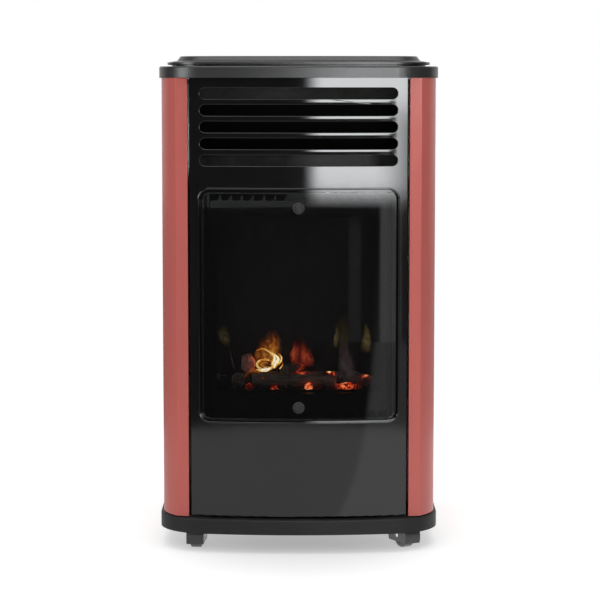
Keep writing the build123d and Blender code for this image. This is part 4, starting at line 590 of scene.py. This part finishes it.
bark = log_char("bark_char", (0.15, 0.117, 0.096), (0.42, 0.33, 0.265))
for node_name, start, end, radii, seed in (
        ("front_log", (-0.070, -0.161, 0.2546), (0.056, -0.158, 0.2531), (0.0115, 0.0100), 3.0),
        ("back_log", (-0.058, -0.121, 0.2531), (0.064, -0.121, 0.2536), (0.0100, 0.0105), 17.0),
        ("left_log", (-0.091, -0.163, 0.2551), (-0.082, -0.122, 0.2521), (0.0120, 0.0090), 29.0),
        ("right_log", (0.106, -0.162, 0.2526), (0.080, -0.128, 0.2546), (0.0095, 0.0115), 41.0),
        ("top_log", (-0.022, -0.169, 0.2700), (0.004, -0.113, 0.2700), (0.0080, 0.0080), 53.0)):
    bm = bmesh.new()
    add_log(bm, start, end, radii, seed)
    log = piece_from(bm, node_name + "_bark", bark)
    set_heat(log)
    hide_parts(node_name)

# ----------------------------------------------------------
# Flames. The yellow gas flame that curls over the front log, the lower red flame behind the
# cross log and faint tongues at the sides: thin glowing skins that stand on logs and embers.


def smooth_path(points, steps):
    """Points on a smooth curve through the given points, as (place, share of the way)."""
    spline = [points[0]] + list(points) + [points[-1]]
    for step in range(steps + 1):
        t = step / steps * (len(points) - 1)
        k = min(int(t), len(points) - 2)
        f = t - k
        a, b, c, d = (Vector(spline[k + n]) for n in range(4))
        yield 0.5 * ((2 * b) + (c - a) * f + (2 * a - 5 * b + 4 * c - d) * f * f
                     + (3 * b - a - 3 * c + d) * f ** 3), step / steps


def add_tongue(bm, heat_layer, points, widths, heats, seed):
    """A tongue of flame: a flattened tapering skin along a curve, in millimetres."""
    steps, around = 46, 18
    path = [(p / 1000, t) for p, t in smooth_path(points, steps)]
    last = None
    for index, (centre, t) in enumerate(path):
        ahead = path[min(index + 1, steps)][0] - path[max(index - 1, 0)][0]
        ahead.normalize()
        across = ahead.cross(Vector((0, 1, 0))).normalized()
        depth = across.cross(ahead)
        span = len(widths) - 1
        k = min(int(t * span), span - 1)
        f = t * span - k
        width = (widths[k] * (1 - f) + widths[k + 1] * f) / 2000
        heat = heats[k] * (1 - f) + heats[k + 1] * f
        ring = []
        for n in range(around):
            angle = FULL_TURN * n / around
            wobble = 1 + 0.22 * noise.noise(Vector((math.cos(angle), t * 7, seed)))
            way = across * math.cos(angle) + depth * 0.5 * math.sin(angle)
            vertex = bm.verts.new(centre + way * width * wobble)
            vertex[heat_layer] = heat
            ring.append(vertex)
        if last:
            join_rings(bm, last, ring)
        last = ring


def bare_material(name):
    """A material without its Principled shader."""
    look = bpy.data.materials.new(name)
    look.use_nodes = True
    look.node_tree.nodes.remove(look.node_tree.nodes["Principled BSDF"])
    return look


def glow(look, colour, strength):
    """Light given off by a surface."""
    return add(look, "Emission", {"Color": colour, "Strength": strength}).outputs[0]


def show(look, shader):
    """Makes a shader the material's surface."""
    out = look.node_tree.nodes["Material Output"]
    look.node_tree.links.new(shader, out.inputs["Surface"])


def flame_skin(name, strength, colours, density, softness):
    """Glowing gas: brightest seen face-on, fading softly to its rim, streaked along the flame."""
    look = bare_material(name)
    heat = add(look, "Attribute", attribute_name="fire_heat").outputs["Fac"]
    rim = add(look, "LayerWeight", {"Blend": 0.5}).outputs["Facing"]
    core = sums(look, "POWER", sums(look, "SUBTRACT", 1.0, rim), softness)
    streaks = ramp(look, speckle(look, 150, 5, 0.62, (1, 1, 0.4), 1.2),
                   (0.34, 0.10), (0.62, 1.0))
    bright = product(look, core, streaks, heat)
    lit = glow(look, ramp(look, bright, *colours), strength)
    clear = add(look, "BsdfTransparent").outputs[0]
    cover = sums(look, "MINIMUM", product(look, bright, density), 1.0)
    show(look, add(look, "MixShader", {"Fac": cover, 1: clear, 2: lit}).outputs[0])
    return look


def flame_piece(name, tongues, look):
    """One flame from several tongues of (points, widths, heats)."""
    bm = bmesh.new()
    layer = bm.verts.layers.float.new("fire_heat")
    for seed, (points, widths, heats) in enumerate(tongues):
        add_tongue(bm, layer, points, widths, heats, seed * 5.7)
    return piece_from(bm, name, look)


def curl(middle, across, up, y, start, sweep, steps=9, drawn_in=0.0):
    """Points round an ellipse, in degrees from its right end; it may draw in as it goes."""
    points = []
    for step in range(steps):
        angle = math.radians(start + sweep * step / (steps - 1))
        share = 1 - drawn_in * step / (steps - 1)
        points.append((middle[0] + across * share * math.cos(angle), y,
                       middle[1] + up * share * math.sin(angle)))
    return points


# The curl over the front log: a hot ridge up its right side, fine threads round it, a white foot.
hot_gas = flame_skin("hot_gas", 2.3, (
    (0.0, (0.40, 0.06, 0.0)), (0.25, (0.95, 0.27, 0.02)), (0.5, (1.0, 0.55, 0.10)),
    (0.75, (1.0, 0.84, 0.38)), (1.0, (1.0, 0.97, 0.78))), 1.25, 3.4)
EYE = (-50.6, 277.0)        # middle of the curl, x and z in millimetres
flame_piece("front_flame", (
    (((-64, -154, 270), (-57, -154, 268.5), (-49, -154, 269), (-41, -154, 272.5), (-35, -153, 279)),
     (2, 5, 6, 5, 2.4), (0.5, 1.6, 1.8, 1.4, 0.8)),
    (((-58, -155, 269.5), (-52, -155, 269.5), (-46, -155, 271)), (2, 5, 2), (1.2, 1.7, 1.2)),
    (((-38, -154, 272), (-33, -153, 279), (-31, -153, 286), (-36, -152, 292), (-44, -152, 297)),
     (5, 7, 5, 3, 1.2), (1.5, 1.6, 1.3, 0.9, 0.4)),
    (((-41, -152, 276), (-37, -152, 283), (-37, -152, 289), (-43, -151, 294)),
     (4, 6, 5, 2), (1.1, 1.2, 1.0, 0.5)),
    (curl(EYE, 13.2, 8.4, -153, 235, -200), (1.4, 1.9, 2.0, 1.9, 1.6), (1.2, 1.0, 0.9, 0.8, 0.6)),
    (curl(EYE, 11.4, 6.6, -152, 250, -250), (1.2, 1.8, 2, 1.8, 1.2), (0.9, 0.75, 0.7, 0.7, 0.6)),
    (curl(EYE, 7.2, 4.4, -152, 330, -310, 9, 0.35), (1, 1.6, 1.8, 1.6, 1),
     (0.8, 0.7, 0.65, 0.6, 0.5)),
    (((-64, -151, 298), (-54, -152, 301), (-44, -152, 296), (-34, -152, 289), (-26, -151, 282)),
     (1, 2.2, 3, 3, 1.4), (0.45, 0.7, 0.9, 0.9, 0.6)),
    (((-31, -151, 276), (-27, -151, 282), (-26, -150, 287), (-29, -150, 293)),
     (2, 3.4, 3, 1), (0.8, 0.9, 0.7, 0.4)),
    (((-29, -151, 270), (-25, -151, 275), (-24, -150, 280)), (1.4, 2.6, 1), (0.7, 0.8, 0.4)),
), hot_gas)

warm_gas = flame_skin("warm_gas", 1.3, (
    (0.0, (0.16, 0.022, 0.0)), (0.35, (0.62, 0.15, 0.015)), (0.7, (0.98, 0.40, 0.06)),
    (1.0, (1.0, 0.62, 0.16))), 0.72, 5.0)
flame_piece("rising_flame", (
    (((-47, -147, 282), (-46, -146, 298), (-43, -145, 312), (-46, -144, 328)),
     (28, 32, 22, 7), (0.85, 0.80, 0.45, 0.0)),
    (((-38, -145, 284), (-36, -144, 300), (-35, -143, 314), (-38, -142, 330)),
     (22, 24, 17, 6), (0.80, 0.72, 0.42, 0.0)),
    (((-56, -148, 274), (-57, -147, 289), (-54, -146, 303), (-57, -145, 318)),
     (22, 24, 17, 6), (0.70, 0.62, 0.35, 0.0)),
    (((-40, -149, 290), (-42, -148, 302), (-37, -147, 312), (-39, -146, 322)),
     (7, 9, 6, 2), (0.8, 0.8, 0.5, 0.0)),
    (((-58, -157, 268), (-68, -160, 269), (-76, -163, 265), (-86, -166, 257)),
     (9, 10, 8, 3), (0.9, 0.7, 0.40, 0.0)),
    (((-52, -156, 268), (-50, -156, 277), (-48, -155, 286)), (34, 38, 30), (0.42, 0.42, 0.3)),
), warm_gas)

# A lower red flame between the cross log and the back log.
red_gas = flame_skin("red_gas", 1.15, (
    (0.0, (0.12, 0.008, 0.004)), (0.4, (0.52, 0.055, 0.02)), (0.75, (0.95, 0.15, 0.055)),
    (1.0, (1.0, 0.30, 0.10))), 0.66, 5.0)
flame_piece("red_flame", (
    (((-6, -122, 274), (-7, -122, 286), (-4, -121, 298), (-7, -121, 312)), (13, 17, 14, 4),
     (0.3, 1.0, 0.7, 0.0)),
    (((7, -122, 272), (9, -122, 284), (7, -121, 296), (4, -120, 308)), (16, 19, 15, 4),
     (0.3, 0.9, 0.6, 0.0)),
    (((15, -121, 270), (17, -120, 281), (15, -120, 290), (12, -120, 300)), (14, 15, 11, 3),
     (0.3, 0.7, 0.4, 0.0)),
    (((3, -120, 266), (4, -120, 283), (3, -119, 298), (2, -119, 318)), (30, 38, 28, 8),
     (0.1, 0.5, 0.35, 0.0)),
), red_gas)

# Thin gas at the back of the bed, and a veil of hot smoke over the embers on the right with a
# wisp of it on the left.
pale_gas = flame_skin("pale_gas", 0.62, (
    (0.0, (0.10, 0.065, 0.022)), (0.5, (0.42, 0.30, 0.10)), (1.0, (0.80, 0.66, 0.30))), 0.60, 3.6)
flame_piece("side_flames", (
    (((56, -122, 300), (57, -121, 312), (58, -120, 324), (56, -120, 336)), (9, 9, 6, 1),
     (0.2, 0.9, 0.6, 0.0)),
    (((101, -124, 292), (103, -123, 308), (103, -122, 322), (101, -121, 340)), (18, 19, 12, 2),
     (0.2, 0.9, 0.6, 0.0)),
    (((-108, -130, 300), (-112, -128, 312), (-114, -126, 322), (-112, -126, 334)), (10, 18, 18, 6),
     (0.0, 0.5, 0.5, 0.0)),
    (((66, -121, 290), (68, -121, 312), (67, -120, 330), (68, -120, 350)), (16, 22, 22, 8),
     (0.0, 0.3, 0.3, 0.0)),
), pale_gas)

smoke_gas = flame_skin("smoke_gas", 0.27, (
    (0.0, (0.20, 0.10, 0.10)), (0.5, (0.44, 0.30, 0.31)), (1.0, (0.60, 0.42, 0.42))), 0.55, 3.6)
flame_piece("ember_veil", (
    (((75, -152, 250), (73, -152, 268), (70, -151, 286), (68, -150, 304), (67, -149, 318)),
     (34, 30, 24, 16, 7), (0.5, 0.9, 0.8, 0.6, 0.0)),
    (((-98, -150, 272), (-100, -150, 282), (-103, -149, 292), (-103, -148, 302)),
     (1.6, 2.2, 2.0, 1.2), (0.9, 0.9, 0.8, 0.5)),
), smoke_gas)

# ----------------------------------------------------------
# Front panel. Two bowed steel sheets in gloss black enamel, the upper with five lipped slots, the
# lower with a pressed bead round the window. Fired enamel is glassy and slightly rippled.

BOW_CENTRE_Y, BOW_RADIUS = 0.592, 0.800
SLOT_PITCH, BAR_MIDDLE, BAR_CROWN = 0.0246, 0.6498, 0.00034
BARS_LOW, BARS_HIGH, BAR_END, BAR_FULL = 0.5878, 0.6862, 0.146, 0.132


def smooth_step(look, value, low, high):
    """0 below low and 1 above high, or the other way round when low is the larger."""
    return scaled(look, value, low, high, interpolation_type="SMOOTHSTEP")


def true_bow(look, normal):
    """The normal of the evenly bowed front where the face follows the bow, else as given."""
    spot = parts(look, object_place(look))
    outward = add(look, "CombineXYZ", {
        "X": spot["X"], "Y": sums(look, "SUBTRACT", spot["Y"], BOW_CENTRE_Y),
        "Z": 0.0}).outputs[0]
    even = add(look, "VectorMath", {0: outward}, operation="NORMALIZE").outputs[0]
    along = add(look, "VectorMath", {0: even, 1: geometry(look, "True Normal")},
                operation="DOT_PRODUCT").outputs["Value"]
    radius = add(look, "VectorMath", {0: outward}, operation="LENGTH").outputs["Value"]
    on_bow = product(look, sums(look, "GREATER_THAN", along, 0.96),
                     sums(look, "LESS_THAN", radius, BOW_RADIUS + 0.0004),
                     sums(look, "GREATER_THAN", radius, BOW_RADIUS - 0.012))
    chosen = add(look, "Mix", {0: on_bow, 4: normal, 5: even}, data_type="VECTOR").outputs[1]
    return add(look, "VectorMath", {0: chosen}, operation="NORMALIZE").outputs[0]


# The bars between the slots are softly crowned: a wave up the sheet, faded out at their ends.
enamel = surface("black_enamel", IOR=1.5)
soft = worn(enamel, 0.0004)[0]
spot = parts(enamel, object_place(enamel))
phase = product(enamel, sums(enamel, "SUBTRACT", spot["Z"], BAR_MIDDLE), math.tau / SLOT_PITCH)
crown = product(enamel, sums(enamel, "ADD", sums(enamel, "COSINE", phase), 1.0),
                smooth_step(enamel, sums(enamel, "ABSOLUTE", spot["X"]), BAR_END, BAR_FULL),
                sums(enamel, "GREATER_THAN", spot["Z"], BARS_LOW),
                sums(enamel, "LESS_THAN", spot["Z"], BARS_HIGH))
dressed(enamel, ramp(enamel, speckle(enamel, 7, 6, 0.6),
                     (0.3, (0.0035, 0.0035, 0.0038)), (0.7, (0.0065, 0.0065, 0.0068))),
        ramp(enamel, speckle(enamel, 26, 7, 0.72, (1, 1, 0.5)), (0.35, 0.045), (0.75, 0.085)),
        speckle(enamel, 90, 3, 0.5), 0.000012,
        bump(enamel, crown, BAR_CROWN, true_bow(enamel, soft)))
finish(enamel, "louvre_panel", "front_panel")

# ----------------------------------------------------------
# Window. A bent sheet of clear heat-proof glass in its recess, here tinted grey as painted shade
# over the firebox, laid on braided gasket tape and clamped by two domed steel fixings with fibre
# washers outside and plated nuts inside.

glass = surface("window_glass", IOR=1.5, Transmission_Weight=1.0)
smears = speckle(glass, 40, 7, 0.75)
# Painted shade: the glass is tinted grey, so that the firebox behind it shows darker.
drive(glass, Base_Color=ramp(glass, smears, (0.3, (0.40, 0.41, 0.42)), (0.8, (0.36, 0.37, 0.38))),
      Roughness=ramp(glass, smears, (0.5, 0.0), (0.9, 0.05)),
      Normal=true_bow(glass, geometry(glass, "Normal")))
finish(glass, "window_glass")

tape = surface("gasket_tape", Specular_IOR_Level=0.08)
braid = add(tape, "TexWave", {
    "Vector": object_place(tape), "Scale": 950.0, "Distortion": 0.8, "Detail": 2.0},
    wave_type="BANDS", bands_direction="DIAGONAL").outputs["Fac"]
dressed(tape, ramp(tape, braid, (0.2, (0.003, 0.003, 0.003)), (0.8, (0.006, 0.006, 0.006))),
        ramp(tape, speckle(tape, 300, 4), (0.2, 0.8), (0.8, 0.98)),
        braid, 0.00008, true_bow(tape, geometry(tape, "Normal")))
finish(tape, "glass_gasket")

fixing_steel = turned_steel("fixing_steel", (0.032, 0.032, 0.033), 0.50, 1400.0, 0.10)
finish(fixing_steel, "glass_fixings")

fibre = surface("fibre_washer", IOR=1.4)
dressed(fibre, ramp(fibre, speckle(fibre, 900, 5, 0.7), (0.3, (0.03, 0.028, 0.026)),
                    (0.7, (0.10, 0.09, 0.08))),
        ramp(fibre, speckle(fibre, 400, 3), (0.2, 0.75), (0.8, 0.95)),
        speckle(fibre, 1200, 4), 0.00008)
finish(fibre, "glass_washers")
finish(screw_zinc, "glass_nuts")

# ----------------------------------------------------------
# Side panels. Folded steel in brick-red stove enamel: a narrow land beside the black front, a
# crease, the rounded corner and the long flank. Gloss paint with orange peel and worn folds.


def red_paint():
    """Brick-red stove enamel under a thin clear gloss."""
    look = surface("red_paint", IOR=1.5, Specular_IOR_Level=0.30, Coat_Weight=0.14,
                   Coat_Roughness=0.14)
    soft, edge = worn(look, 0.0008)
    cloud = speckle(look, 6, 6, 0.62, (1, 1, 0.6), 0.5)
    body = ramp(look, cloud, (0.3, (0.405, 0.080, 0.066)), (0.7, (0.455, 0.094, 0.077)))
    flecks = speckle(look, 1500, 3, 0.6)
    body = over(look, body, (0.30, 0.055, 0.045), flecks, 0.10)
    rub = patches(look, 0.50, 0.72, 60, 7, 0.78, (1, 1, 0.3))
    body = over(look, body, (0.62, 0.22, 0.19), edge, rub, 0.45)
    grime = patches(look, 0.52, 0.85, 38, 8, 0.76, (1, 1, 0.7))
    body = over(look, body, (0.20, 0.075, 0.06), grime, 0.10)
    shine = scaled(look, speckle(look, 24, 6, 0.7), 0.0, 1.0, 0.34, 0.50)
    return dressed(look, body, shine, speckle(look, 260, 3, 0.5), 0.00003, soft)


finish(red_paint(), "left_side_panel", "right_side_panel")

# ----------------------------------------------------------
# Valve, igniter, pipes and leads. A zinc-cast gas valve and a moulded igniter hang under the
# tray, joined by bent copper pipes, the thermocouple's sheath and a rubber high-tension lead.

finish(zinc_sheet("valve_casting", 520.0, (0.52, 0.52, 0.51), 0.46), "gas_valve", "control_nuts")
finish(brass, "hose_nozzle")
finish(copper, "burner_pipe", "pilot_pipe", "thermocouple_lead")
finish(axle_steel, "valve_spindle")
finish(moulded_plastic("igniter_plastic", (0.012, 0.012, 0.012), 0.46), "piezo_igniter")

rubber = surface("lead_rubber", IOR=1.5)
dressed(rubber, ramp(rubber, speckle(rubber, 120, 6, 0.7), (0.3, (0.18, 0.022, 0.014)),
                     (0.7, (0.30, 0.038, 0.022))),
        ramp(rubber, speckle(rubber, 60, 5), (0.3, 0.45), (0.7, 0.65)),
        speckle(rubber, 500, 4), 0.00005)
finish(rubber, "ignition_lead")

# ----------------------------------------------------------
# Top. A moulded frame whose lip wraps the casing, and on it a domed plate with a sloped border.
# At the back the plate opens into a sunk tray with the control knob and the igniter's button.

top_plastic = moulded_plastic("top_plastic", (0.013, 0.013, 0.0134), 0.34, 1000.0, 0.4, 0.45)
finish(top_plastic, "top_frame", "top_plate")
finish(moulded_plastic("tray_plastic", (0.013, 0.013, 0.013), 0.40, 1100.0), "control_tray")
finish(moulded_plastic("knob_plastic", (0.010, 0.010, 0.010), 0.28, 1300.0, 0.6), "control_knob")
finish(nylon_moulding("button_nylon", (0.42, 0.035, 0.022), (0.10, 0.02, 0.015), 0.2),
       "igniter_button")

# ----------------------------------------------------------
# Rear cover. A vented steel door in fine black powder coat. Two tongues at its foot stand in the
# floor's lip, and its studs push into nylon grommets in the rail.

powder = moulded_plastic("rear_powder_coat", (0.020, 0.020, 0.021), 0.52, 640.0, 0.5)
finish(powder, "rear_cover")
finish(bush_nylon, "cover_grommets")
finish(screw_zinc, "cover_studs")

# ----------------------------------------------------------
# Studio. A white floor that keeps the heater's soft shadow, a wide overhead light, and round the
# front a dark wall with soft light panels, which only the gloss of enamel and glass reflects.

FRONT = Vector((0.0, -0.2, 0.0))            # on the floor, below the heater's front
WALL_RADIUS, WALL_HEIGHT, WALL_STEPS = 2.6, 4.5, 96
WALL_REACH = 120                # degrees to either side
FLOOR_RADIUS = 9.0
DEGREES = 57.2958               # in one radian
WHITE = (1, 1, 1, 1)


def around_heater(look):
    """Degrees to the right of straight ahead from the heater's front, height and distance."""
    spot = parts(look, geometry(look, "Position"))
    ahead = sums(look, "SUBTRACT", FRONT.y, spot["Y"])
    turn = sums(look, "ARCTAN2", spot["X"], ahead)
    square = sums(look, "ADD", product(look, spot["X"], spot["X"]),
                  product(look, ahead, ahead))
    return product(look, turn, DEGREES), spot["Z"], sums(look, "SQRT", square)


def only_reflected(piece):
    """Leaves a piece of the studio out of everything but reflections."""
    for ray in ("camera", "diffuse", "transmission", "volume_scatter", "shadow"):
        setattr(piece, "visible_" + ray, False)


def studio_wall():
    """Dark cloth round the front with light panels in it, seen in reflections only."""
    bm = bmesh.new()
    low, high = [], []
    for step in range(WALL_STEPS + 1):
        angle = math.radians(-WALL_REACH + 2 * WALL_REACH * step / WALL_STEPS)
        spot = FRONT + Vector((math.sin(angle), -math.cos(angle), 0)) * WALL_RADIUS
        low.append(bm.verts.new(spot))
        high.append(bm.verts.new(spot + Vector((0, 0, WALL_HEIGHT))))
    for k in range(WALL_STEPS):
        bm.faces.new((low[k], low[k + 1], high[k + 1], high[k]))
    look = bare_material("studio_wall")
    turn, height, _ = around_heater(look)

    def steps(*spans):
        return product(look, *[smooth_step(look, *span) for span in spans])

    # A tall panel on the right, another on the left, and two low grey cards.
    far_edge = sums(look, "MAXIMUM", steps((turn, 36.0, 19.0)),
                    steps((turn, 42.0, 27.0), (height, 0.54, 0.68)))
    right_panel = product(look, steps((turn, 1.0, 6.8)), far_edge,
                          steps((height, 0.36, 0.44)), steps((height, 1.45, 1.05)))
    left_panel = steps((turn, -48.0, -52.0), (turn, -78.0, -70.0),
                       (height, 0.42, 0.66), (height, 1.60, 1.20))
    wide_card = steps((turn, 21.4, 22.8), (turn, 28.5, 27.0), (height, 0.40, 0.36))
    narrow_card = steps((turn, 13.0, 14.2), (turn, 17.5, 16.3), (height, 0.36, 0.30))
    total = product(look, right_panel, 15.5)
    for panel, strength in ((left_panel, 13.0), (wide_card, 0.70), (narrow_card, 0.14)):
        total = sums(look, "ADD", total, product(look, panel, strength))
    total = sums(look, "ADD", total, 0.06)
    show(look, glow(look, (0.97, 0.985, 1.0, 1), total))
    wall = mesh_object(bm, "studio_wall", look)
    only_reflected(wall)


studio_wall()


def floor():
    """White floor: lit and shadowed near the heater, plain white to the camera further out."""
    bm = bmesh.new()
    bmesh.ops.create_circle(bm, cap_ends=True, segments=96, radius=FLOOR_RADIUS)
    look = bare_material("floor")
    turn, _, distance = around_heater(look)
    painted = add(look, "BsdfDiffuse", {"Color": (0.70, 0.70, 0.70, 1)}).outputs[0]
    # Painted light: the floor's glow grows from the heater's front outwards, so its shadow fades
    # sooner.
    painted_light = product(look, smooth_step(look, distance, 0.03, 0.36), 0.22)
    painted_light = glow(look, WHITE, sums(look, "ADD", painted_light, 0.38))
    near = add(look, "AddShader", {0: painted, 1: painted_light}).outputs[0]
    seen = add(look, "MixShader", {
        0: smooth_step(look, distance, 0.9, 2.0), 1: near,
        2: glow(look, WHITE, 1.0)}).outputs[0]
    # In reflections it is bright near the heater and grey on the right.
    fade = product(look, smooth_step(look, distance, 1.27, 1.12), 0.85)
    side = product(look, smooth_step(look, turn, 19.5, 22.0), 0.40)
    mirrored = sums(look, "ADD", fade, sums(look, "ADD", side, 0.05))
    glossy = add(look, "LightPath").outputs["Is Glossy Ray"]
    show(look, add(look, "MixShader", {
        0: glossy, 1: seen, 2: glow(look, WHITE, mirrored)}).outputs[0])
    ground = mesh_object(bm, "floor", look)


floor()


def ceiling():
    """A bright ceiling panel over the front, seen only as the light line on upward edges."""
    bm = bmesh.new()
    bmesh.ops.create_grid(bm, x_segments=1, y_segments=1, size=1.0)
    for vertex in bm.verts:
        vertex.co = Vector((vertex.co.x * 1.6, vertex.co.y * 0.9 - 1.3, 2.9))
    look = bare_material("ceiling")
    show(look, glow(look, WHITE, 4.0))
    panel = mesh_object(bm, "ceiling", look)
    only_reflected(panel)


ceiling()

# The sky is white to the camera and in gloss and glass, and dimmer as a light.
world = bpy.data.worlds.new("studio")
bpy.context.scene.world = world
world.use_nodes = True
path = add(world, "LightPath").outputs
seen = sums(world, "MAXIMUM", path["Is Camera Ray"], path["Is Glossy Ray"])
seen = sums(world, "MAXIMUM", seen, path["Is Transmission Ray"])
background = world.node_tree.nodes["Background"].inputs
background["Color"].default_value = WHITE
world.node_tree.links.new(scaled(world, seen, 0.0, 1.0, 0.45, 1.0), background["Strength"])


def soft_lamp(name, place_at, aim, size, power):
    """A large square area lamp that shows in no reflection."""
    lamp = bpy.data.lights.new(name, "AREA")
    lamp.shape = "SQUARE"
    lamp.size = size
    lamp.energy = power
    lamp_object = put(name, lamp)
    lamp_object.location = place_at
    way = Vector(aim) - Vector(place_at)
    lamp_object.rotation_euler = way.to_track_quat("-Z", "Y").to_euler()
    lamp_object.visible_glossy = False
    lamp_object.visible_camera = False


soft_lamp("front_light", (-0.35, -3.4, 2.2), (0, 0, 0.4), 2.4, 32)
soft_lamp("overhead_light", (0, -0.3, 3.0), (0, 0, 0), 3.0, 40)

# ----------------------------------------------------------
# Camera. Straight in front at the height of the top's lip, tilted down to the middle of the
# heater, far enough away for the little bend that the edges of base and top show.

TILT_DOWN = 5.57                # degrees
camera = bpy.data.cameras.new("camera")
camera.lens = 126.0
camera.sensor_width = 36.0
camera.shift_x = 0.0022
camera.shift_y = -0.02
camera_object = put("camera", camera)
camera_object.location = (0.0, -3.3, 0.70)
camera_object.rotation_euler = (math.radians(90 - TILT_DOWN), 0, 0)
bpy.context.scene.camera = camera_object
bpy.context.scene.view_settings.view_transform = "Standard"
